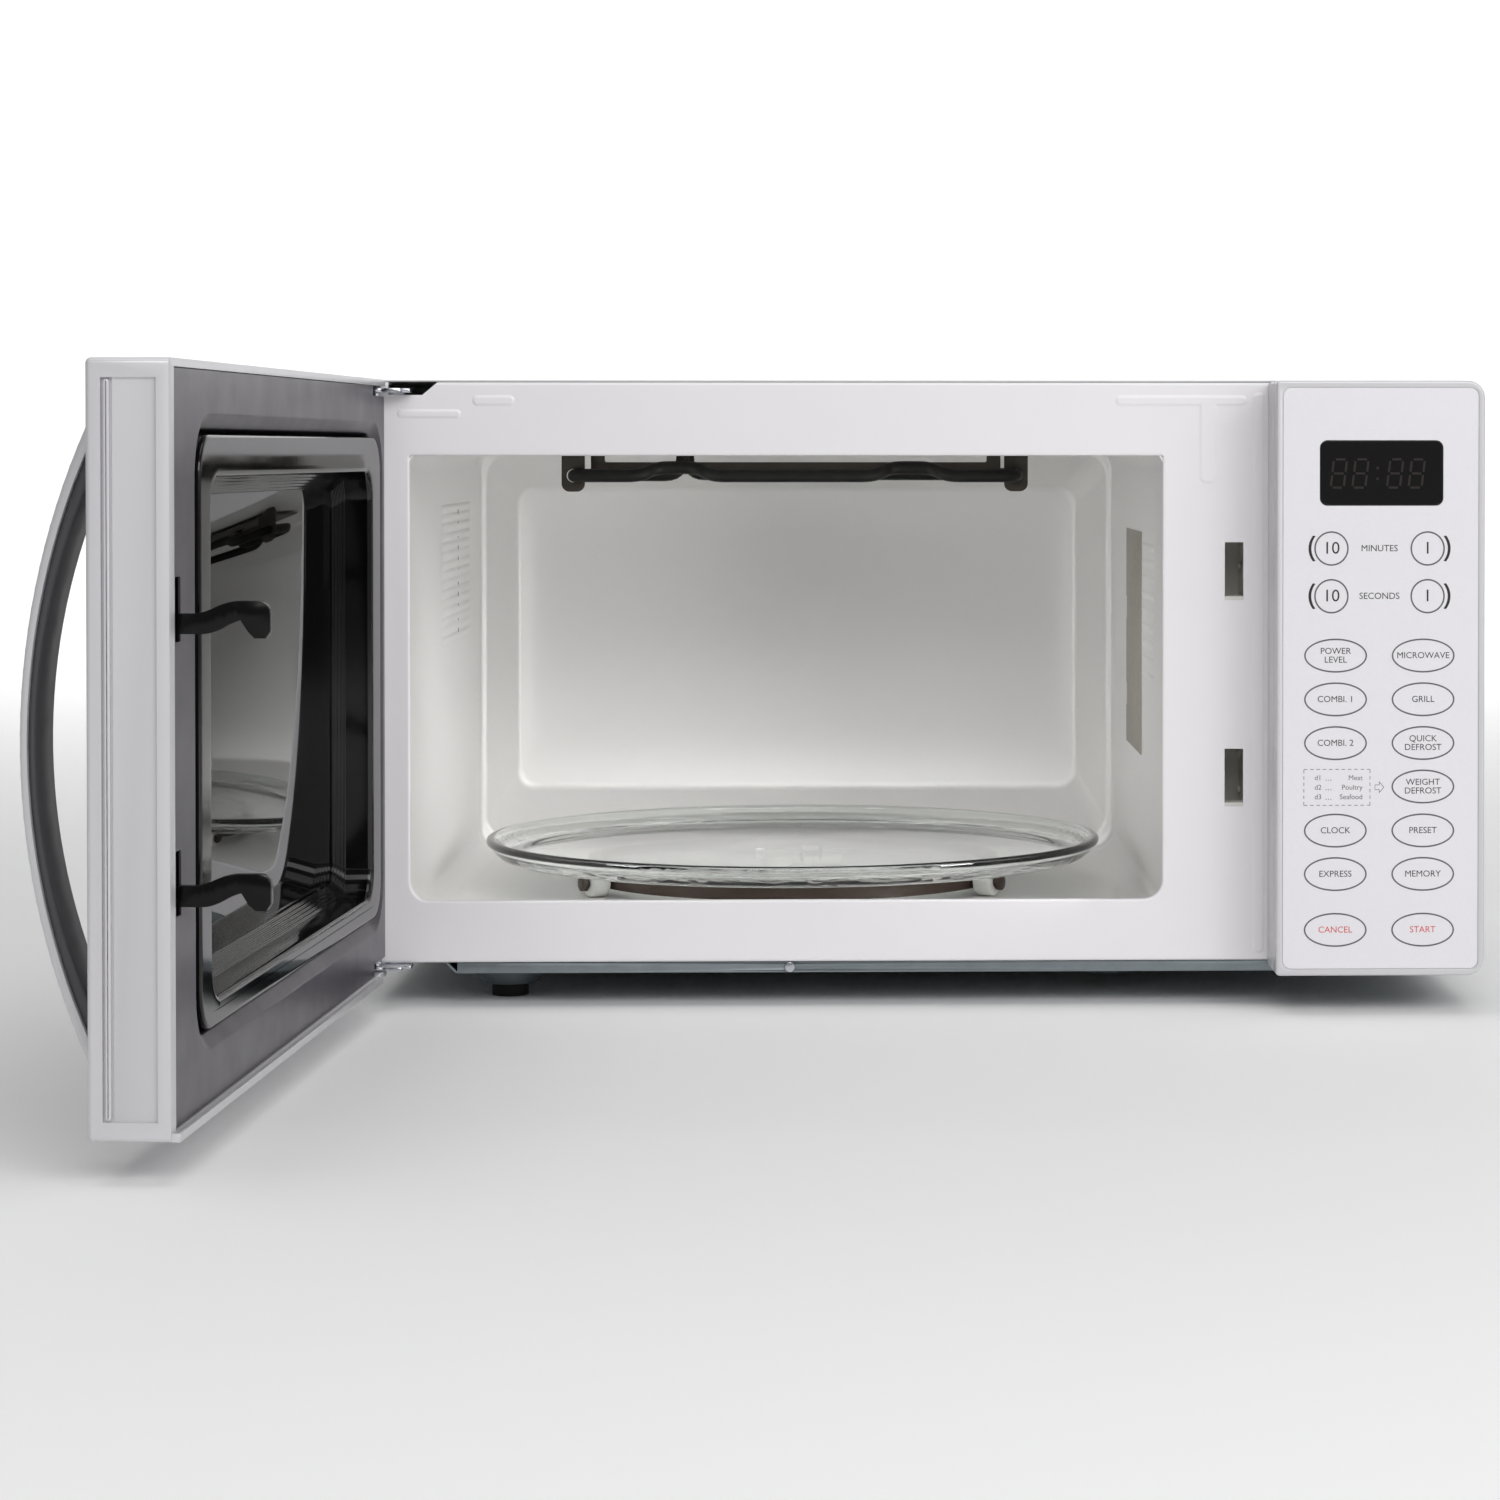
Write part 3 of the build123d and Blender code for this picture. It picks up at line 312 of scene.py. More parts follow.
# High-gloss black polypropylene, straight from a polished mould.
PIANO_BLACK = Finish(
    "black_moulding_gloss", "black_gloss", "#060607", roughness=0.08, rough_spread=0.03,
    rough_mm=40, relief_mm=3.5, relief_depth=0.01,
)
# Black acetal of the latch lever: dense black with a soft shine.
HOOK_BLACK = Finish(
    "hook_acetal_black", "black_gloss", "#040405", roughness=0.2, ior=1.3, relief_mm=0.8,
    relief_depth=0.01,
)
# Dark grey ABS of the grip, satin.
GRIP_ABS = Finish(
    "grip_abs_dark", "grip_dark", "#4a4a4d", "#434347", roughness=0.4, relief_mm=0.4,
    relief_depth=0.01,
)
RUBBER = Finish(
    "foot_rubber", "rubber_black", "#0d0d0e", roughness=0.75, relief_mm=0.5, relief_depth=0.03,
)
# Pressed mica sheet: mottled grey-beige flakes under a dull glaze.
MICA = Finish(
    "pressed_mica", "mica", "#a8a399", "#948f85", drift_mm=6, roughness=0.5, rough_spread=0.2,
    rough_mm=3, relief_mm=2.5, relief_depth=0.03, relief=Relief.SPANGLE,
)
# Oxidised steel sheath of the heater: nearly black, dry, faintly scaled.
HEATER_SHEATH = Finish(
    "oxidised_sheath", "heater_sheath", "#0d0d0c", "#151412", drift_mm=12, roughness=0.5,
    ior=1.35, relief_mm=0.7, relief_depth=0.03,
)
HEAT_DARK = Finish(
    "heat_darkened_steel", "dark_sheet", "#4a443d", "#35322e", drift_mm=14, roughness=0.45,
    metallic=0.6, relief_mm=0.8, relief_depth=0.02,
)
# Soda-lime tray glass: clear with a slight green depth.
TRAY_GLASS = Finish(
    "tray_glass", "clear_glass", "#fafdfb", roughness=0.03, rough_spread=0.0, ior=1.52,
    transmission=1.0, relief_mm=9, relief_depth=0.02,
)
RING_BROWN = Finish(
    "ring_pps_brown", "ring_brown", "#4a3b32", "#413329", drift_mm=10, roughness=0.42,
    relief_mm=0.5, relief_depth=0.02,
)
WHEEL_WHITE = Finish(
    "wheel_ptfe_white", "wheel_white", "#eeeeea", roughness=0.4, relief_mm=0.5, relief_depth=0.01,
)
NATURAL_NYLON = Finish(
    "natural_plastic", "white_plastic", "#dcdbd5", "#d4d3cc", roughness=0.42, relief_mm=0.6,
    relief_depth=0.015,
)
DISPLAY_BLACK = Finish(
    "display_acrylic", "display_black", "#050506", roughness=0.12, rough_spread=0.0, relief_mm=20,
    relief_depth=0.002,
)
# Unlit segments show as faint brown ghosts behind the filter.
SEGMENT_GHOST = Finish(
    "unlit_segment", "display_black", "#1d1310", roughness=0.3, rough_spread=0.0, relief_mm=1,
    relief_depth=0.002,
)
SMOKED_PANE = Finish(
    "smoked_pane", "smoked_glass", "#3f3f42", roughness=0.02, rough_spread=0.0, ior=1.5,
    transmission=1.0, relief_mm=60, relief_depth=0.01,
)
OUTER_PANE = Finish(
    "black_outer_pane", "smoked_glass", "#0b0b0d", roughness=0.04, rough_spread=0.0, relief_mm=60,
    relief_depth=0.01, coat=0.4, coat_roughness=0.02,
)
SCREEN_BLACK = Finish(
    "screen_enamel", "screen_black", "#6f6e70", "#69686b", roughness=0.35, metallic=0.2,
    relief_mm=1.0, relief_depth=0.005,
)
# Painted shade: dark discs that stand in for the screen's holes, partly the shaded space behind them and
# partly the black outer pane's own colour.
HOLE_SHADE = Finish(
    "screen_hole", "screen_black", "#1b1b1d", roughness=0.6, rough_spread=0.0, relief_mm=1,
    relief_depth=0.002,
)
# Painted shade: dark discs on the wall that stand in for the dark space behind the vent holes.
VENT_SHADE = Finish(
    "vent_hole_shade", "rubber_black", "#101012", roughness=0.8, rough_spread=0.0, relief_mm=1,
    relief_depth=0.002,
)
# Black nylon of the gland and the switches.
CABLE_GLAND = Finish("black_nylon", "black_gloss", "#151517", roughness=0.42, relief_mm=0.5)
STUDIO_PAPER = Finish("studio_paper", "", "#f6f6f6", roughness=0.9, relief_mm=4, relief_depth=0.02)
INK_GREY = Finish(
    "key_ink_grey", "grip_dark", "#5c5a5e", roughness=0.45, rough_spread=0.0, relief_mm=0.3,
    relief_depth=0.002,
)
INK_BLACK = Finish(
    "key_ink_black", "rubber_black", "#1b1a1c", roughness=0.45, rough_spread=0.0, relief_mm=0.3,
    relief_depth=0.002,
)
INK_RED = Finish(
    "key_ink_red", "copper_winding", "#d2362c", roughness=0.45, rough_spread=0.0, relief_mm=0.3,
    relief_depth=0.002,
)
BOARD_GREEN = Finish("circuit_board", "board_green", "#1f4a2b", "#1a4026", roughness=0.35)
COPPER = Finish(
    "lacquered_copper", "copper_winding", "#a5562e", "#8e4725", drift_mm=6, roughness=0.3,
    metallic=0.9, relief=Relief.BRUSHED, relief_mm=0.8, relief_depth=0.1, stretch=(1, 0.05, 0.05),
)
CORE_STEEL = Finish(
    "laminated_core", "core_steel", "#3a3a3c", "#2f2f31", roughness=0.5, metallic=0.6,
    relief=Relief.BRUSHED, relief_mm=0.7, relief_depth=0.1, stretch=(1, 0.02, 0.02),
)
BARE_ALUMINIUM = Finish(
    "bare_aluminium", "aluminium_body", "#cfd0d2", "#c4c5c8", drift_mm=15, roughness=0.3,
    metallic=1.0, relief_mm=0.8, relief_depth=0.01,
)
SPRING_STEEL = Finish("spring_wire", "spring_steel", "#9a9a9c", roughness=0.3, metallic=1.0)
LAMP_GLASS = Finish(
    "lamp_glass", "clear_glass", "#f2efe6", roughness=0.1, rough_spread=0.0, transmission=0.6,
)


# ---------------------------------------------------------------- places


def cabinet(x: float, depth: float, z: float) -> Vector:
    """Point of the cabinet, from millimetres: across, behind the front frame, and up."""
    return Vector((MIDDLE + x * MM, FRONT + depth * MM, z * MM))


def sideways(depth: float, x: float, z: float) -> Vector:
    """The same point of the cabinet, for an outline that lies in a side wall."""
    return cabinet(x, depth, z)


def door(along: float, out: float, z: float) -> Vector:
    """Point of the open door, in millimetres.

    Args:
        along: Distance from the hinge side along the door.
        out: Depth from the door's inner face towards its outer face.
        z: Height.

    Returns:
        The point in metres, with the door as it is stored.
    """
    shut = cabinet(Door.left + along, -(Door.gap + out), z)
    pivot = Vector((HINGE.x, HINGE.y, 0.0))
    return pivot + Matrix.Rotation(-DOOR_OPEN, 3, "Z") @ (shut - pivot)


Place = Callable[[float, float, float], Vector]
Ring = list[Vector]


@dataclass(frozen=True)
class Rect:
    """Upright rectangle with round corners, in millimetres."""

    x: tuple[float, float]
    z: tuple[float, float]
    radius: float
    top: float | None = None  # radius of the upper corners, where they differ

    def inset(self, margin: float, shrink: float = 1.0) -> "Rect":
        """The rectangle drawn in on all sides, with its corners tightened to match.

        Args:
            margin: Distance inwards; negative goes outwards.
            shrink: Millimetres of corner radius lost for each millimetre inwards.

        Returns:
            The smaller or larger rectangle.
        """
        return Rect(
            (self.x[0] + margin, self.x[1] - margin),
            (self.z[0] + margin, self.z[1] - margin),
            max(self.radius - margin * shrink, 0.3),
            None if self.top is None else max(self.top - margin * shrink, 0.3),
        )

    def blend(self, other: "Rect", share: float) -> "Rect":
        """A rectangle part of the way towards another.

        Args:
            other: The rectangle that a share of 1 gives.
            share: How far to go.

        Returns:
            The rectangle between the two.
        """
        here = (*self.x, *self.z, self.radius)
        there = (*other.x, *other.z, other.radius)
        left, right, low, high, radius = (a + (b - a) * share for a, b in zip(here, there))
        return Rect((left, right), (low, high), radius)

    def ring(self, place: Place, depth: float, steps: int = 8) -> Ring:
        """Points round the rectangle, the same number for every rectangle.

        Args:
            place: Turns millimetres into a point.
            depth: The depth of all the points.
            steps: Pieces in each corner.

        Returns:
            The points in order.
        """
        points = []
        for corner in range(4):
            radius = self.top if corner in (0, 1) and self.top is not None else self.radius
            middle_x = self.x[1] - radius if corner in (0, 3) else self.x[0] + radius
            middle_z = self.z[1] - radius if corner in (0, 1) else self.z[0] + radius
            for step in range(steps + 1):
                turn = math.pi / 2 * (corner + step / steps)
                points.append(
                    place(middle_x + radius * math.cos(turn), depth, middle_z + radius * math.sin(turn))
                )
        return points


def rounded_path(
    corners: Sequence[tuple[Sequence[float], float]], closed: bool = False, steps: int = 5
) -> list[Vector]:
    """Rounds the corners of a path.

    Args:
        corners: Each corner's point and the length that its rounding takes of each side.
        closed: Whether the last corner joins the first.
        steps: Pieces in each rounding.

    Returns:
        The path's points.
    """
    path = []
    count = len(corners)
    for index, (point, reach) in enumerate(corners):
        here = Vector(point)
        if reach == 0 or (not closed and index in (0, count - 1)):
            path.append(here)
            continue
        before, after = Vector(corners[index - 1][0]), Vector(corners[(index + 1) % count][0])
        start = here + (before - here).normalized() * min(reach, (before - here).length * 0.49)
        end = here + (after - here).normalized() * min(reach, (after - here).length * 0.49)
        for step in range(steps + 1):
            share = step / steps
            path.append(
                start * (1 - share) ** 2 + here * 2 * share * (1 - share) + end * share**2
            )
    return path


# ---------------------------------------------------------------- mesh helpers


def new_piece(name: str, mesh: bpy.types.Mesh) -> bpy.types.Object:
    """Links a mesh into the scene as an object at the origin."""
    piece = bpy.data.objects.new(name, mesh)
    bpy.context.scene.collection.objects.link(piece)
    return piece


def from_bmesh(name: str, shape: bmesh.types.BMesh) -> bpy.types.Object:
    """Turns a bmesh into an object with smooth faces, and frees it.

    Args:
        name: The piece's name.
        shape: The faces.

    Returns:
        The piece.
    """
    mesh = bpy.data.meshes.new(name)
    shape.to_mesh(mesh)
    shape.free()
    mesh.shade_smooth()
    return new_piece(name, mesh)


def settle(piece: bpy.types.Object) -> bpy.types.Object:
    """Applies every modifier of a piece, so that it is a plain mesh.

    Args:
        piece: The piece to change.

    Returns:
        The same piece.
    """
    bpy.context.view_layer.update()
    evaluated = piece.evaluated_get(bpy.context.evaluated_depsgraph_get())
    mesh = bpy.data.meshes.new_from_object(evaluated)
    piece.modifiers.clear()
    piece.data = mesh
    return piece


def crisp(piece: bpy.types.Object) -> bpy.types.Object:
    """Keeps large faces flat beside their rounded edges, and sharp edges sharp.

    Args:
        piece: The piece to change.

    Returns:
        The same piece.
    """
    piece.data.set_sharp_from_angle(angle=math.radians(40))
    flat = piece.modifiers.new("flat_faces", "WEIGHTED_NORMAL")
    flat.weight = 90
    flat.keep_sharp = True
    return settle(piece)


def stack(name: str, rings: Sequence[Ring], closed: bool = True) -> bpy.types.Object:
    """Skins rings of points in order.

    Args:
        name: The piece's name.
        rings: Loops with the same number of points.
        closed: Joins the last ring to the first; otherwise both ends are capped.

    Returns:
        The piece, with its faces outwards.
    """
    shape = bmesh.new()
    loops = [[shape.verts.new(point) for point in ring] for ring in rings]
    count = len(loops[0])
    pairs = list(zip(loops, loops[1:]))
    if closed:
        pairs.append((loops[-1], loops[0]))
    else:
        shape.faces.new(loops[0])
        shape.faces.new(loops[-1])
    for near, far in pairs:
        for here in range(count):
            there = (here + 1) % count
            shape.faces.new((near[here], near[there], far[there], far[here]))
    bmesh.ops.recalc_face_normals(shape, faces=shape.faces)
    return crisp(from_bmesh(name, shape))


def section_rings(
    place: Place,
    outline: Rect,
    section: Sequence[tuple[float, float, float]],
    toward: Rect | None = None,
    over: float = 1.0,
    shrink: float = 1.0,
) -> list[Ring]:
    """Carries a section round an outline.

    Args:
        place: Turns millimetres into a point.
        outline: The outline that the section follows.
        section: Inset, depth and rounding of each corner of the section.
        toward: Another outline, reached at an inset of over; none means an even inset.
        over: The inset at which toward is reached.
        shrink: Corner radius lost for each millimetre of even inset.

    Returns:
        One ring for each point of the rounded section.
    """
    path = rounded_path([((inset, depth, 0.0), reach) for inset, depth, reach in section])
    return [
        (outline.blend(toward, p.x / over) if toward else outline.inset(p.x, shrink)).ring(place, p.y)
        for p in path
    ]


def rounded(
    piece: bpy.types.Object, width_mm: float, segments: int = 2, angle: float = 32.0
) -> bpy.types.Object:
    """Rounds a piece's sharp edges, keeping its flat faces flat.

    Args:
        piece: The piece, whose mesh is merged.
        width_mm: How far the rounding reaches from each edge, in millimetres.
        segments: Faces across the rounding.
        angle: Edges sharper than this many degrees are rounded.

    Returns:
        The same piece with the rounding in its mesh.
    """
    edge = piece.modifiers.new("edge", "BEVEL")
    edge.width = width_mm * MM
    edge.segments = segments
    edge.limit_method = "ANGLE"
    edge.angle_limit = math.radians(angle)
    edge.harden_normals = True
    return settle(piece)


def softened(node: str, width_mm: float, segments: int = 2) -> bpy.types.Object:
    """Copies a CAD node, merges its loose triangles and rounds its edges.

    Args:
        node: The CAD node's name.
        width_mm: How far the rounding reaches from each edge, in millimetres.
        segments: Faces across the rounding.

    Returns:
        A new piece of the node's shape.
    """
    shape = bmesh.new()
    shape.from_mesh(frame["nodes"][node].data)
    bmesh.ops.remove_doubles(shape, verts=shape.verts, dist=2e-6)
    return rounded(from_bmesh(node + "_finished", shape), width_mm, segments)


def cut(piece: bpy.types.Object, cutters: Iterable[bpy.types.Object]) -> bpy.types.Object:
    """Takes closed shapes out of a piece, and removes them.

    Args:
        piece: The piece to cut.
        cutters: The shapes, each clear of the others.

    Returns:
        The same piece.
    """
    for cutter in cutters:
        tool = piece.modifiers.new("cut", "BOOLEAN")
        tool.operation = "DIFFERENCE"
        tool.solver = "EXACT"
        tool.object = cutter
        settle(piece)
        bpy.data.objects.remove(cutter)
    return piece


def prism(
    place: Place, points: Sequence[tuple[float, float]], depths: tuple[float, float]
) -> bpy.types.Object:
    """Closed shape with an upright outline.

    Args:
        place: Turns millimetres into a point.
        points: The outline's corners, as X and Z.
        depths: Where it starts and ends.

    Returns:
        The shape, with its faces outwards.
    """
    rings = [[place(x, depth, z) for x, z in points] for depth in depths]
    return stack("prism", rings, closed=False)


def plug(
    place: Place, rect: Rect, depths: tuple[float, float], steps: int = 2
) -> bpy.types.Object:
    """Closed block with a rectangle's outline, to cut with.

    Args:
        place: Turns millimetres into a point.
        rect: The outline.
        depths: Where it starts and ends.
        steps: Pieces in each corner.

    Returns:
        The block, with its faces outwards.
    """
    return stack("plug", [rect.ring(place, depth, steps) for depth in depths], closed=False)


def joined(name: str, pieces: Sequence[bpy.types.Object]) -> bpy.types.Object:
    """Joins pieces into one object and removes them.

    Args:
        name: The new piece's name.
        pieces: What goes into it.

    Returns:
        The new piece.
    """
    shape = bmesh.new()
    for piece in pieces:
        shape.from_mesh(piece.data)
        bpy.data.objects.remove(piece)
    return from_bmesh(name, shape)


def lathe(
    name: str,
    centre: Vector,
    profile: Sequence[Vector],
    segments: int,
    jitter: Callable[[float, Vector], float],
) -> bpy.types.Object:
    """Turns a profile round an upright axis.

    Args:
        name: The piece's name.
        centre: Point of the axis at height 0, in metres.
        profile: Radius and height in millimetres, from the axis above to the axis below.
        segments: Steps round the axis.
        jitter: Millimetres to add to the radius, from the angle and the profile's point.

    Returns:
        The piece, closed at both ends of its axis.
    """
    shape = bmesh.new()
    rings = []
    for step in range(segments):
        turn = math.tau * step / segments
        ring = []
        for point in profile[1:-1]:
            radius = point.x + jitter(turn, point)
            ring.append(
                shape.verts.new(
                    centre + Vector((radius * math.cos(turn), radius * math.sin(turn), point.y)) * MM
                )
            )
        rings.append(ring)
    poles = [shape.verts.new(centre + Vector((0, 0, p.y)) * MM) for p in (profile[0], profile[-1])]
    for here, there in zip(rings, rings[1:] + rings[:1]):
        for a, b, c, d in zip(here, here[1:], there[1:], there):
            shape.faces.new((a, b, c, d))
        shape.faces.new((poles[0], here[0], there[0]))
        shape.faces.new((poles[1], there[-1], here[-1]))
    bmesh.ops.recalc_face_normals(shape, faces=shape.faces)
    return from_bmesh(name, shape)


def tube(name: str, path: Sequence[Vector], radius_mm: float) -> bpy.types.Object:
    """Round bar along a path, with closed ends.

    Args:
        name: The piece's name.
        path: Its points, in metres.
        radius_mm: Radius of the bar, in millimetres.

    Returns:
        The bar as a mesh.
    """
    line = bpy.data.curves.new(name, "CURVE")
    line.dimensions = "3D"
    line.bevel_depth = radius_mm * MM
    line.bevel_resolution = 6
    line.use_fill_caps = True
    spline = line.splines.new("POLY")
    spline.points.add(len(path) - 1)
    for place, point in zip(spline.points, path):
        place.co = (*point, 1.0)
    holder = bpy.data.objects.new(name, line)
    bpy.context.scene.collection.objects.link(holder)
    bpy.context.view_layer.update()
    mesh = bpy.data.meshes.new_from_object(
        holder.evaluated_get(bpy.context.evaluated_depsgraph_get())
    )
    bpy.data.objects.remove(holder)
    mesh.shade_smooth()
    return new_piece(name, mesh)


def pattern_tree() -> bpy.types.NodeTree:
    """Geometry Nodes tree that repeats a small shape in rows and columns.

    Returns:
        The tree, made the first time it is asked for.
    """
    tree = bpy.data.node_groups.get("rows_and_columns")
    if tree:
        return tree
    tree = bpy.data.node_groups.new("rows_and_columns", "GeometryNodeTree")
    face = tree.interface
    face.new_socket("Shape", in_out="INPUT", socket_type="NodeSocketGeometry")
    for name in ("Columns", "Rows"):
        face.new_socket(name, in_out="INPUT", socket_type="NodeSocketInt")
    for name in ("Column Step", "Row Step"):
        face.new_socket(name, in_out="INPUT", socket_type="NodeSocketVector")
    face.new_socket("Finish", in_out="INPUT", socket_type="NodeSocketMaterial")
    face.new_socket("Pattern", in_out="OUTPUT", socket_type="NodeSocketGeometry")
    given = add_node(tree, "NodeGroupInput").outputs
    shape = given["Shape"]
    for count, step in (("Columns", "Column Step"), ("Rows", "Row Step")):
        line = add_node(tree, "GeometryNodeMeshLine", {"Count": given[count], "Offset": given[step]})
        spread = add_node(
            tree, "GeometryNodeInstanceOnPoints", {"Points": line.outputs[0], "Instance": shape}
        )
        shape = add_node(
            tree, "GeometryNodeRealizeInstances", {"Geometry": spread.outputs[0]}
        ).outputs[0]
    dressed = add_node(
        tree, "GeometryNodeSetMaterial", {"Geometry": shape, "Material": given["Finish"]}
    )
    add_node(tree, "NodeGroupOutput", {"Pattern": dressed.outputs[0]})
    return tree


def repeated(
    piece: bpy.types.Object,
    finish: Finish,
    columns: int,
    column_step: Vector,
    rows: int = 1,
    row_step: Vector = Vector((0, 0, 0)),
) -> bpy.types.Object:
    """Repeats a small shape in rows and columns, as one plain mesh.

    Args:
        piece: The shape at the first place.
        finish: The finish that the tree sets.
        columns: How many along the first step.
        column_step: From one to the next, in metres.
        rows: How many along the second step.
        row_step: From one row to the next, in metres.

    Returns:
        The same object with the whole pattern.
    """
    tree = pattern_tree()
    pattern = piece.modifiers.new("pattern", "NODES")
    pattern.node_group = tree
    values = {
        "Columns": columns, "Rows": rows, "Column Step": column_step, "Row Step": row_step,
        "Finish": finish.material(),
    }
    for socket in tree.interface.items_tree:
        if socket.in_out == "INPUT" and socket.name in values:
            pattern[socket.identifier] = values[socket.name]
    settle(piece)
    piece.data.shade_smooth()
    return piece


def dress(piece: bpy.types.Object, body: str, finish: Finish, *nodes: str) -> bpy.types.Object:
    """Gives a piece its finish and its body, and hides the CAD nodes that it stands for.

    Args:
        piece: The finished shape.
        body: The body that it moves with.
        finish: What it is made of.
        nodes: The CAD nodes that it replaces, if any.

    Returns:
        The same piece.
    """
    piece.data.materials.clear()
    piece.data.materials.append(finish.material())
    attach(piece, body)
    if nodes:
        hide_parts(*nodes)
    log.info("%s rides on %s in %s", piece.name, body, finish.name)
    return piece


def dress_nodes(finish: Finish, *nodes: str) -> None:
    """Gives CAD nodes that keep their own mesh a finish.

    Args:
        finish: What they are made of.
        nodes: Their names.
    """
    for node in nodes:
        data = frame["nodes"][node].data
        data.materials.clear()
        data.materials.append(finish.material())
        log.info("%s keeps its mesh in %s", node, finish.name)


def refinish(finish: Finish, width_mm: float, *nodes: str) -> None:
    """Replaces CAD nodes with copies whose edges are rounded, in one finish."""
    for node in nodes:
        dress(softened(node, width_mm), frame["nodes"][node]["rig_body"], finish, node)


# ---------------------------------------------------------------- cabinet


@dataclass
class FrontFrame:
    """The enamelled plate round the oven's mouth, with its pressed beads and latch slots.

    The mouth's lower corners are round and its upper corners nearly square.
    """

    outer: Rect = Rect((-258.0, 168.0), (21.3, 293.0), 5.0)
    opening: Rect = Rect((-239.6, 112.8), (50.2, 258.6), 9.0, 0.8)
    flange: float = 14.0
    sheet: float = 1.0
    slot_x: tuple[float, float] = (142.1, 150.9)
    slots_z: tuple[tuple[float, float], ...] = ((93.7, 120.9), (190.8, 218.0))
    beads: tuple[Rect, ...] = (
        Rect((91.0, 152.0), (282.4, 286.6), 2.0),
        Rect((130.5, 138.0), (246.0, 284.5), 3.0),
        Rect((-245.0, -216.0), (276.5, 280.0), 1.7),
        Rect((-210.0, -191.0), (282.4, 286.6), 2.0),
        Rect((155.6, 160.6), (25.0, 288.0), 2.4),
    )
    # Outline of the cut at the upper hinge.
    notch: tuple[tuple[float, float], ...] = (
        (-249.4, 296.0), (-249.4, 287.0), (-233.5, 287.0), (-222.8, 296.0),
    )

    def build(self) -> None:
        """Makes the plate, cuts it and adds the beads."""
        plate = self.plate()
        slots = [Rect(self.slot_x, z, 0.4) for z in self.slots_z]
        cutters = [plug(cabinet, slot, (-2.0, 8.0)) for slot in slots]
        cut(plate, [prism(cabinet, self.notch, (-2.0, 20.0)), *cutters])
        beads = [self.bead(rect, index * 0.01) for index, rect in enumerate(self.beads)]
        whole = crisp(joined("front_frame_enamelled", [plate, *beads]))
        dress(whole, "cabinet", POWDER_WHITE, "front_frame")

    def plate(self) -> bpy.types.Object:
        """Plate with a return flange outside and a rolled lip round the mouth.

        Returns:
            The plate before its slots are cut.
        """
        flange, sheet = self.flange, self.sheet
        outside = [(1.0, flange, 0), (0.0, flange, 0), (0.0, 0.0, 1.6), (4.0, 0.0, 0)]
        mouth = [(-3.0, 0.0, 0), (0.0, 0.0, 1.3)]
        lip = [(0.0, 3.4, 0), (-0.8, 3.4, 0), (-0.8, sheet, 0.3), (-3.0, sheet, 0)]
        back = [(4.0, sheet, 0), (1.0, sheet, 0.3), (1.0, flange, 0)]
        rings = section_rings(cabinet, self.outer, outside)
        rings += section_rings(cabinet, self.opening, [*mouth, *lip])
        rings += section_rings(cabinet, self.outer, back)
        return stack("plate", rings)

    def bead(self, rect: Rect, lower: float) -> bpy.types.Object:
        """One soft stiffening bead, raised half a millimetre.

        Args:
            rect: Its outline, halfway up its side.
            lower: How much lower it lies, so that crossing beads don't share a face.

        Returns:
            The bead, closed behind.
        """
        steps, rise, skirt, side = 6, 0.5, 0.9, 1.9
        rings = [rect.inset(-skirt).ring(cabinet, 0.4)]
        for step in range(steps + 1):
            share = step / steps
            height = rise * (1 - math.cos(math.pi * share)) / 2
            rings.append(rect.inset(side * share - skirt).ring(cabinet, 0.04 - height + lower))
        return stack("bead", rings, closed=False)


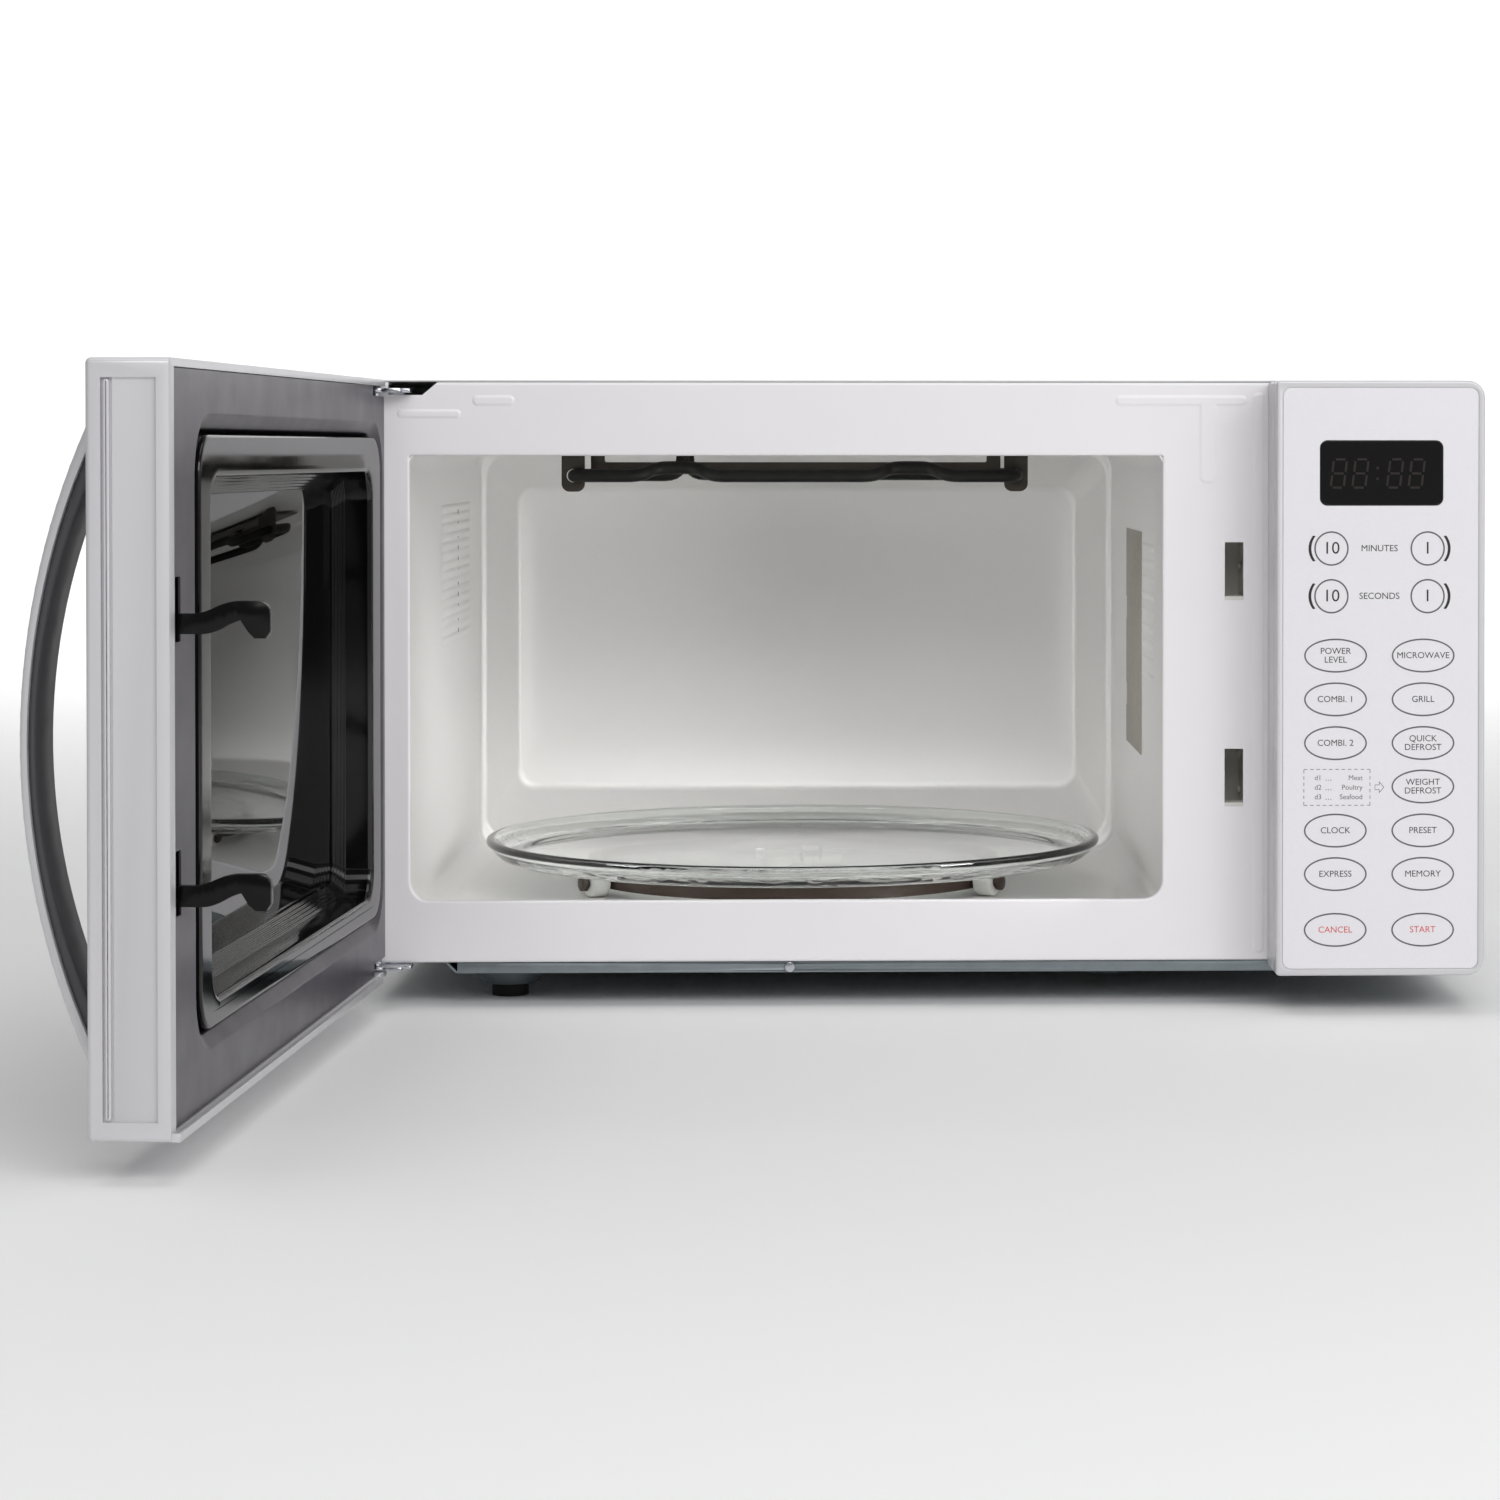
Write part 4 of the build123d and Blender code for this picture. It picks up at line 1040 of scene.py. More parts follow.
@dataclass
class Cavity:
    """The enamelled oven cavity: wrapped shell, drawn floor and drawn back."""

    bore: Rect = Rect((-240.6, 113.8), (37.5, 263.0), 12.0)
    sheet: float = 0.8
    depth: float = 345.0
    seam_z: float = 56.0
    panel: Rect = Rect((-221.5, 93.9), (70.8, 238.6), 12.0)
    hinge_side: float = -240.6
    left_vent_rows: int = 15
    left_hole_rows: int = 11
    left_hole_pitch: float = 6.2
    left_vent: tuple[float, float, float] = (146.0, 286.0, 4.8)

    def build(self) -> None:
        """Makes the shell, floor, back, vents and mica cover."""
        for node, keep_top in (("cavity_shell", True), ("cavity_floor", False)):
            half = self.tube_part(node + "_enamelled", keep_top)
            dress(half, "cabinet", CAVITY_ENAMEL, node)
        self.back()
        self.left_louvres()
        self.right_scallops()
        refinish(MICA, 0.15, "mica_cover")

    def tube_part(self, name: str, keep_top: bool) -> bpy.types.Object:
        """The wrapped tube above or below its seam, with the window pierced in the top part.

        Args:
            name: The piece's name.
            keep_top: Whether the part above the seam is wanted.

        Returns:
            That part of the tube.
        """
        rows, steps = [1.0, 60.0, 120.0, 180.0, 240.0, 300.0, self.depth], 12
        rings = [self.bore.ring(cabinet, depth, steps) for depth in rows]
        outside = self.bore.inset(-self.sheet)
        rings += [outside.ring(cabinet, depth, steps) for depth in reversed(rows)]
        piece = stack(name, rings)
        spare = (self.seam_z - 300.0, self.seam_z) if keep_top else (self.seam_z, 500.0)
        cut(piece, [plug(cabinet, Rect((-400.0, 400.0), spare, 1.0), (-50.0, 500.0), 1)])
        if keep_top:
            window = [(146.999, 118.0), (219.0, 118.0), (219.0, 209.0), (146.999, 209.0)]
            cut(piece, [prism(sideways, window, (112.0, 116.0))])
        return crisp(piece)

    def back(self) -> None:
        """Drawn back: a flange in the corner, a slope, and a dished panel."""
        front = [
            (0.06, 330.0, 0), (0.06, 345.2, 2.5), (3.2, 345.6, 1.6), (18.6, 371.5, 2.2),
            (32.0, 375.0, 10.0), (60.0, 375.0, 0),
        ]
        rear = [
            (60.0, 375.8, 0), (32.0, 375.8, 0), (18.0, 372.3, 0), (2.8, 346.4, 0),
            (-0.7, 346.0, 0), (-0.7, 330.0, 0),
        ]
        rings = section_rings(cabinet, self.bore, [*front, *rear], self.panel, 19.5)
        half = len(rounded_path([((i, d, 0.0), r) for i, d, r in front]))
        skin = [*reversed(rings[:half]), *reversed(rings[half:])]
        piece = stack("cavity_back_enamelled", skin, closed=False)
        dress(piece, "cabinet", CAVITY_ENAMEL, "cavity_back")

    def ridge(
        self, name: str, place: Place, length: float, height: float, rise: float
    ) -> bpy.types.Object:
        """Long soft ridge, as a louvre pressed in a wall.

        Args:
            name: The piece's name.
            place: Turns length, rise and height in millimetres into a point.
            length: How long it is.
            height: How tall it is on the wall.
            rise: How far it stands out.

        Returns:
            The ridge, open towards the wall.
        """
        long_steps, short_steps, sunk = 12, 6, 0.02
        shape = bmesh.new()
        rows = []
        for u in range(long_steps + 1):
            along = u / long_steps
            end = math.sqrt(min(1.0, 5.0 * min(along, 1 - along) + 0.02))
            row = []
            for v in range(short_steps + 1):
                across = v / short_steps
                bulge = math.sin(math.pi * across) ** 0.8 * (0.55 + 0.45 * across)
                point = place(length * along, rise * bulge * end - sunk, height * (across - 0.5))
                row.append(shape.verts.new(point))
            rows.append(row)
        for near, far in zip(rows, rows[1:]):
            for a, b, c, d in zip(near, near[1:], far[1:], far):
                shape.faces.new((a, b, c, d))
        return from_bmesh(name, shape)

    def left_louvres(self) -> None:
        """Rows of pressed louvres on the hinge-side wall, with dark discs of painted shade for their holes.
        """
        start, stop, pitch = self.left_vent

        def wall(along: float, out: float, up: float) -> Vector:
            """Point on the hinge-side wall, from the lowest louvre's front end."""
            return cabinet(self.hinge_side + out, start + along, 164.0 + up)

        louvres = self.ridge("left_wall_louvres", wall, stop - start, 4.5, 1.7)
        repeated(louvres, CAVITY_ENAMEL, self.left_vent_rows, Vector((0, 0, pitch * MM)))
        dress(louvres, "cabinet", CAVITY_ENAMEL)
        # The holes are flat dark discs: painted shade of the space behind the wall.
        hole = self.disc("left_wall_vent_hole_shade", (self.hinge_side + 1.02, 216.0, 167.0), 1.5)
        repeated(hole, VENT_SHADE, self.left_hole_rows, Vector((0, 0, self.left_hole_pitch * MM)))
        dress(hole, "cabinet", VENT_SHADE)

    def right_scallops(self) -> None:
        """Pressed scallops on the far wall, each open at its rear edge."""
        def wall(along: float, out: float, up: float) -> Vector:
            """Point on the far wall, from the lowest scallop's front end."""
            return cabinet(self.bore.x[1] - out, 62.0 + along, 149.0 + up)

        scallops = self.ridge("right_wall_scallops", wall, 9.0, 4.6, 1.3)
        repeated(scallops, CAVITY_ENAMEL, 6, Vector((0, 11 * MM, 0)), 9, Vector((0, 0, 8 * MM)))
        dress(scallops, "cabinet", CAVITY_ENAMEL)

    def disc(
        self, name: str, middle: tuple[float, float, float], radius: float
    ) -> bpy.types.Object:
        """Small flat disc that faces across the cavity.

        Args:
            name: The piece's name.
            middle: Its middle, in millimetres of the cabinet.
            radius: Its radius, in millimetres.

        Returns:
            The disc.
        """
        sides = 12
        x, depth, z = middle
        turns = [math.tau * k / sides for k in range(sides)]
        shape = bmesh.new()
        shape.faces.new(
            [
                shape.verts.new(cabinet(x, depth + radius * math.cos(t), z + radius * math.sin(t)))
                for t in turns
            ]
        )
        return from_bmesh(name, shape)


@dataclass
class Grill:
    """Sheathed heater under the ceiling, with its tabs and reflector."""

    height: float = 248.5
    front: float = 112.0
    back: float = 240.0
    jog: float = 10.0
    lift: float = 4.0
    radius: float = 3.25

    def build(self) -> None:
        """Makes the bent element and dresses its holders."""
        low, front, back = self.height, self.front, self.back
        set_back, raised = front + self.jog, low + self.lift
        turns = [
            (-120, 175, 271, 9), (-120, 175, low, 9), (-172, 175, low, 12), (-172, front, low, 12),
        ]
        for start in (-138, -21):
            turns += [
                (start, front, low, 7), (start + 7, set_back, raised, 7),
                (start + 28, set_back, raised, 7), (start + 35, front, low, 7),
            ]
        turns += [(50, front, low, 12), (50, back, low, 12), (-120, back, low, 9), (-120, back, 271, 9)]
        path = rounded_path([(cabinet(x, d, z) / MM, reach) for x, d, z, reach in turns], steps=6)
        element = tube("grill_element_sheath", [p * MM for p in path], self.radius)
        dress(element, "cabinet", HEATER_SHEATH, "grill_element")
        refinish(HEAT_DARK, 0.25, "grill_brackets", "grill_reflector")


def table_centre() -> Vector:
    """Point of the turntable's axis on the floor, in metres."""
    return cabinet(-63.0, 176.0, 0.0)


@dataclass
class Turntable:
    """Glass tray on its roller ring."""

    centre: Vector = field(default_factory=table_centre)
    segments: int = 420
    pebble: float = 0.32
    lug_radius: float = 18.0

    def build(self) -> None:
        """Turns the tray and dresses what carries it."""
        dress(self.tray(), "tray", TRAY_GLASS, "glass_tray")
        refinish(RING_BROWN, 0.5, "roller_ring")
        refinish(WHEEL_WHITE, 0.5, "roller_wheel_1", "roller_wheel_2", "roller_wheel_3")
        refinish(NATURAL_NYLON, 0.4, "drive_coupler")
        refinish(BRIGHT_ZINC, 0.3, "motor_shaft", "turntable_motor")

    def tray(self) -> bpy.types.Object:
        """Pressed glass tray with a rolled rim, a pebbled band under it and three lugs.

        Returns:
            The tray in one piece.
        """
        outline = [
            (0.0, 56.1, 0), (30.0, 56.1, 4), (141.0, 56.1, 5), (150.4, 59.4, 3), (153.2, 63.3, 1.2),
            (155.6, 63.6, 0.9), (157.4, 62.6, 0.9), (157.5, 60.4, 0.8), (155.4, 58.6, 1.0),
            (151.0, 53.6, 3), (146.0, 52.1, 3), (100.0, 52.1, 2), (0.0, 52.1, 0),
        ]
        profile = []
        path = rounded_path([((r, z, 0.0), reach) for r, z, reach in outline], steps=4)
        for here, there in zip(path, path[1:]):
            pieces = 8 if 145 < here.x < 156 and here.y < 59 and (there - here).length > 1.5 else 1
            profile += [here.lerp(there, k / pieces) for k in range(pieces)]
        profile.append(path[-1])
        body = lathe("tray_body", self.centre, profile, self.segments, self.pebbles)
        lugs = [self.lug(math.radians(turn)) for turn in (60, 180, 300)]
        return joined("glass_tray_pressed", [body, *lugs])

    def pebbles(self, turn: float, point: Vector) -> float:
        """Unevenness of the pressed band under the rim.

        Args:
            turn: Angle round the tray.
            point: Radius and height on the profile, in millimetres.

        Returns:
            Millimetres to add to the radius.
        """
        if not (147 < point.x < 155.2 and point.y < 58.2):
            return 0.0
        spread = 90.0
        place = Vector((math.cos(turn) * spread, math.sin(turn) * spread, point.y * 0.9))
        return self.pebble * noise.noise(place)

    def lug(self, angle: float) -> bpy.types.Object:
        """One of the lugs that the coupler drives.

        Args:
            angle: Where it stands round the tray.

        Returns:
            The lug, closed.
        """
        along = Vector((math.cos(angle), math.sin(angle), 0))
        across = Vector((-along.y, along.x, 0))
        middle = self.centre / MM + along * self.lug_radius

        def under_tray(x: float, height: float, width: float) -> Vector:
            """Point of the lug, from its middle."""
            return (middle + along * x + across * width + Vector((0, 0, height))) * MM

        sections = ((52.3, 6.0, 2.5), (46.0, 5.4, 2.1), (45.0, 4.6, 1.4))
        rings = [
            Rect((-taper, taper), (-half, half), 1.3).ring(under_tray, height, 3)
            for height, half, taper in sections
        ]
        return stack("lug", rings, closed=False)


@dataclass
class Cabinet:
    """Case, base, back, brackets, feet and what shows through the latch slots."""

    def build(self) -> None:
        """Rounds and dresses the cabinet's outer pieces."""
        refinish(CASE_COAT, 0.4, "outer_case")
        refinish(GALVANISED, 0.3, "base_plate", "rear_panel")
        refinish(RUBBER, 0.9, "rubber_feet")
        refinish(BRIGHT_ZINC, 0.3, "upper_hinge_bracket", "lower_hinge_bracket")
        refinish(BRIGHT_ZINC, 0.3, "base_screw", "case_screws")
        refinish(NATURAL_NYLON, 0.4, "latch_board")
        refinish(CABLE_GLAND, 0.6, "cord_gland")
        self.hidden()

    def hidden(self) -> None:
        """Dresses what the case covers."""
        for switch in ("primary", "monitor", "secondary"):
            dress_nodes(NATURAL_NYLON, switch + "_plunger")
            dress_nodes(CABLE_GLAND, switch + "_switch")
        dress_nodes(NATURAL_NYLON, "fan_blade")
        dress_nodes(CABLE_GLAND, "hv_diode", "thermal_cutout")
        dress_nodes(GALVANISED, "waveguide", "fan_shroud")
        dress_nodes(BARE_ALUMINIUM, "magnetron", "capacitor")
        dress_nodes(CORE_STEEL, "transformer_core", "fan_motor")
        dress_nodes(COPPER, "transformer_windings")
        dress_nodes(BOARD_GREEN, "control_board", "filter_board")
        dress_nodes(LAMP_GLASS, "cavity_lamp")
        dress_nodes(DISPLAY_BLACK, "display_module")


# ---------------------------------------------------------------- control panel


class Align(Enum):
    """Where a printed word stands about its point."""

    LEFT = "LEFT"
    CENTER = "CENTER"
    RIGHT = "RIGHT"


@dataclass
class Panel:
    """Silver housing with its printed keypad film and display."""

    face: float = -34.0
    ink_gap: float = 0.03
    columns: tuple[float, float] = (189.9, 230.4)
    oval: tuple[float, float] = (14.2, 7.5)
    stroke: float = 0.72
    keys: tuple[tuple[float, str, str], ...] = (
        (166.5, "POWER\nLEVEL", "MICROWAVE"),
        (146.3, "COMBI. 1", "GRILL"),
        (126.1, "COMBI. 2", "QUICK\nDEFROST"),
        (106.0, "", "WEIGHT\nDEFROST"),
        (85.7, "CLOCK", "PRESET"),
        (65.6, "EXPRESS", "MEMORY"),
    )
    last_row: float = 39.8
    time_rows: tuple[tuple[float, str], ...] = ((215.9, "MINUTES"), (193.9, "SECONDS"))
    time_columns: tuple[tuple[float, str], ...] = ((187.9, "10"), (232.4, "1"))
    time_radius: float = 7.6
    crescent_half: float = 38.0  # degrees
    film: Rect = Rect((165.6, 255.8), (21.9, 289.9), 3.8)
    window: Rect = Rect((182.5, 239.6), (235.6, 265.8), 3.5)

    def build(self) -> None:
        """Makes the film, the ink and the display."""
        refinish(SILVER_ABS, 0.35, "panel_housing")
        self.film_and_window()
        self.outlines()
        self.words()
        self.digits()

    def film_and_window(self) -> None:
        """Makes the flat film with its window cut out, and the clear window that fills it."""
        face, back = self.face, self.face + 0.5
        outside = [(0.0, back, 0), (0.0, face, 0.2), (2.0, face, 0)]
        hole = [(-2.0, face, 0), (0.0, face, 0.15), (0.0, back, 0)]
        rings = section_rings(cabinet, self.film, outside)
        rings += section_rings(cabinet, self.window, hole)
        dress(stack("keypad_film_pearl", rings), "cabinet", PEARL_FILM, "keypad_film")
        pane = [(0.1, face + 3.0, 0), (0.1, face + 0.1, 0.4), (1.2, face + 0.1, 0)]
        window = stack("display_window_pane", section_rings(cabinet, self.window, pane), closed=False)
        dress(window, "cabinet", DISPLAY_BLACK, "display_window")

    def on_face(self, x: float, z: float) -> Vector:
        """Point printed on the film."""
        return cabinet(x, self.face - self.ink_gap, z)

    def ribbon(
        self, shape: bmesh.types.BMesh, outer: Ring, inner: Ring, closed: bool = True
    ) -> None:
        """Adds the flat band between two lines of points.

        Args:
            shape: The ink's mesh.
            outer: One side's points.
            inner: The other side's points, as many.
            closed: Whether the band meets itself.
        """
        ends = [[shape.verts.new(p) for p in line] for line in (outer, inner)]
        count = len(outer)
        for here in range(count if closed else count - 1):
            there = (here + 1) % count
            shape.faces.new((ends[0][here], ends[0][there], ends[1][there], ends[1][here]))

    def arc(
        self,
        middle: tuple[float, float],
        radii: tuple[float, float],
        span: tuple[float, float] = (0.0, 360.0),
    ) -> Ring:
        """Points on part of an ellipse, clockwise as the user sees it.

        Args:
            middle: Its middle, as X and Z.
            radii: Its half width and half height.
            span: Where it starts and stops, in degrees.

        Returns:
            The points on the film.
        """
        count = 56
        start, stop = span
        pieces = count if stop - start >= 360 else count - 1
        turns = [math.radians(stop + (start - stop) * k / pieces) for k in range(count)]
        return [
            self.on_face(middle[0] + radii[0] * math.cos(t), middle[1] + radii[1] * math.sin(t))
            for t in turns
        ]

    def hoop(
        self, shape: bmesh.types.BMesh, middle: tuple[float, float], radii: tuple[float, float]
    ) -> None:
        """Adds a printed oval line.

        Args:
            shape: The ink's mesh.
            middle: Its middle, as X and Z.
            radii: Its half width and half height, to the middle of the line.
        """
        half = self.stroke / 2
        outer, inner = [(radii[0] + d, radii[1] + d) for d in (half, -half)]
        self.ribbon(shape, self.arc(middle, outer), self.arc(middle, inner))

    def outlines(self) -> None:
        """Prints the rings round the keys, the crescents and the dashed box."""
        grey, black = bmesh.new(), bmesh.new()
        right_column = self.columns[1]
        places = [
            (x, z) for z, left, _ in self.keys for x in self.columns if left or x == right_column
        ]
        for middle in places + [(x, self.last_row) for x in self.columns]:
            self.hoop(grey, middle, self.oval)
        for z, _ in self.time_rows:
            for (x, _), facing, lean in zip(self.time_columns, (180.0, 0.0), (-0.9, 0.9)):
                self.hoop(grey, (x, z), (self.time_radius, self.time_radius))
                span = (facing - self.crescent_half, facing + self.crescent_half)
                outer = self.arc((x + lean, z), (9.7, 9.7), span)
                inner = self.arc((x, z), (9.3, 9.3), span)
                self.ribbon(black, outer, inner, closed=False)
        self.dashes(grey)
        for name, shape, finish in (
            ("key_rings_ink", grey, INK_GREY), ("key_crescents_ink", black, INK_BLACK),
        ):
            bmesh.ops.recalc_face_normals(shape, faces=shape.faces)
            self.face_user(shape)
            dress(from_bmesh(name, shape), "cabinet", finish)

    def face_user(self, shape: bmesh.types.BMesh) -> None:
        """Turns flat print so that it faces the user.

        Args:
            shape: The ink's mesh.
        """
        shape.normal_update()
        wrong = [f for f in shape.faces if f.normal.y > 0]
        bmesh.ops.reverse_faces(shape, faces=wrong)

    def dashes(self, shape: bmesh.types.BMesh) -> None:
        """The dashed box and the outlined arrow beside it.

        Args:
            shape: The ink's mesh.
        """
        left, right, low, high = 175.3, 205.9, 97.4, 114.0
        dash, line = 1.6, 0.3
        for z in (low, high):
            for k in range(11):
                x = left + k * (right - left) / 10.5
                self.bar(shape, (x, z), (min(x + dash, right), z), line)
        for x in (left, right):
            for k in range(6):
                z = low + k * (high - low) / 5.6
                self.bar(shape, (x, z), (x, min(z + dash, high)), line)
        arrow = [
            (208.2, 104.6), (210.2, 104.6), (210.2, 103.2), (212.3, 105.7),
            (210.2, 108.2), (210.2, 106.8), (208.2, 106.8),
        ]
        for here, there in zip(arrow, arrow[1:] + arrow[:1]):
            self.bar(shape, here, there, 0.26)

    def bar(
        self,
        shape: bmesh.types.BMesh,
        start: tuple[float, float],
        end: tuple[float, float],
        width: float,
    ) -> None:
        """Adds one printed stroke.

        Args:
            shape: The ink's mesh.
            start: Where it starts, as X and Z.
            end: Where it ends.
            width: How wide it is.
        """
        a, b = Vector((*start, 0)), Vector((*end, 0))
        side = (b - a).normalized().cross(Vector((0, 0, 1))) * width / 2
        corners = (a + side, b + side, b - side, a - side)
        shape.faces.new([shape.verts.new(self.on_face(p.x, p.y)) for p in corners])

    def word(
        self,
        shape: bmesh.types.BMesh,
        text: str,
        size: float,
        x: float,
        z: float,
        weight: float,
        align: Align = Align.CENTER,
    ) -> None:
        """Adds a printed word, its middle at a point.

        Args:
            shape: The ink's mesh.
            text: The word, or lines of words.
            size: Height of the type, in millimetres.
            x: Where it stands across.
            z: Where its middle stands.
            weight: How much the strokes are thickened, in millimetres.
            align: Which side of the word stands at x.
        """
        line = bpy.data.curves.new("word", "FONT")
        line.body = text
        line.size = size
        line.align_x = align.value
        line.align_y = "CENTER"
        line.space_line = 0.98
        line.space_character = 1.0
        line.resolution_u = 4
        holder = bpy.data.objects.new("word", line)
        bpy.context.scene.collection.objects.link(holder)
        bpy.context.view_layer.update()
        mesh = bpy.data.meshes.new_from_object(holder.evaluated_get(bpy.context.evaluated_depsgraph_get()))
        bpy.data.objects.remove(holder)
        glyphs = bmesh.new()
        glyphs.from_mesh(mesh)
        bpy.data.meshes.remove(mesh)
        bmesh.ops.inset_region(
            glyphs, faces=glyphs.faces, thickness=weight, use_boundary=True, use_even_offset=True,
            use_outset=True,
        )
        for vertex in glyphs.verts:
            vertex.co = self.on_face(x + vertex.co.x, z + vertex.co.y)
        bolder = bpy.data.meshes.new("word")
        glyphs.to_mesh(bolder)
        glyphs.free()
        shape.from_mesh(bolder)
        bpy.data.meshes.remove(bolder)

    def words(self) -> None:
        """Prints the numbers and the plain function words."""
        black, red, grey = bmesh.new(), bmesh.new(), bmesh.new()
        for z, label in self.time_rows:
            self.word(black, label, 4.2, 210.1, z, 0.14)
            for x, number in self.time_columns:
                self.word(black, number, 7.9, x, z, 0.3)
        for z, *labels in self.keys:
            for x, label in zip(self.columns, labels):
                if label:
                    self.word(black, label, 4.1, x, z, 0.15)
        for x, label in zip(self.columns, ("CANCEL", "START")):
            self.word(red, label, 4.1, x, self.last_row, 0.13)
        for row, (code, food) in enumerate((("d1", "Meat"), ("d2", "Poultry"), ("d3", "Seafood"))):
            z = 110.0 - row * 4.4
            self.word(grey, code, 3.3, 180.2, z, 0.07, Align.LEFT)
            self.word(grey, food, 3.3, 202.5, z, 0.07, Align.RIGHT)
            for dot in range(3):
                x = 185.4 + dot * 1.1
                self.bar(grey, (x, z - 1.0), (x + 0.4, z - 1.0), 0.4)
        for name, shape, finish in (
            ("key_words_black_ink", black, INK_BLACK), ("key_words_red_ink", red, INK_RED),
            ("key_words_fine_ink", grey, INK_GREY),
        ):
            self.face_user(shape)
            dress(from_bmesh(name, shape), "cabinet", finish)

    def digits(self) -> None:
        """Four unlit digits of seven slanted segments, and the colon between them."""
        shape = bmesh.new()
        lean = 0.12
        for start in (187.5, 197.5, 213.5, 223.5):
            for low, high, horizontal in (
                ((0, 0), (6, 0), True), ((0, 6.5), (6, 6.5), True), ((0, 13), (6, 13), True),
                ((0, 0), (0, 6.5), False), ((6, 0), (6, 6.5), False),
                ((0, 6.5), (0, 13), False), ((6, 6.5), (6, 13), False),
            ):
                trim = 0.8
                a = (low[0] + (trim if horizontal else 0), low[1] + (0 if horizontal else trim))
                b = (high[0] - (trim if horizontal else 0), high[1] - (0 if horizontal else trim))
                ends = [(start + p[0] + p[1] * lean, 244.0 + p[1]) for p in (a, b)]
                self.bar(shape, *ends, 1.0)
        for z in (248.0, 253.0):
            self.bar(shape, (208.6, z), (209.8, z), 1.2)
        self.face_user(shape)
        for vertex in shape.verts:
            vertex.co.y = FRONT + (self.face + 0.07) * MM
        dress(from_bmesh("display_digits_unlit", shape), "cabinet", SEGMENT_GHOST)


# ---------------------------------------------------------------- door


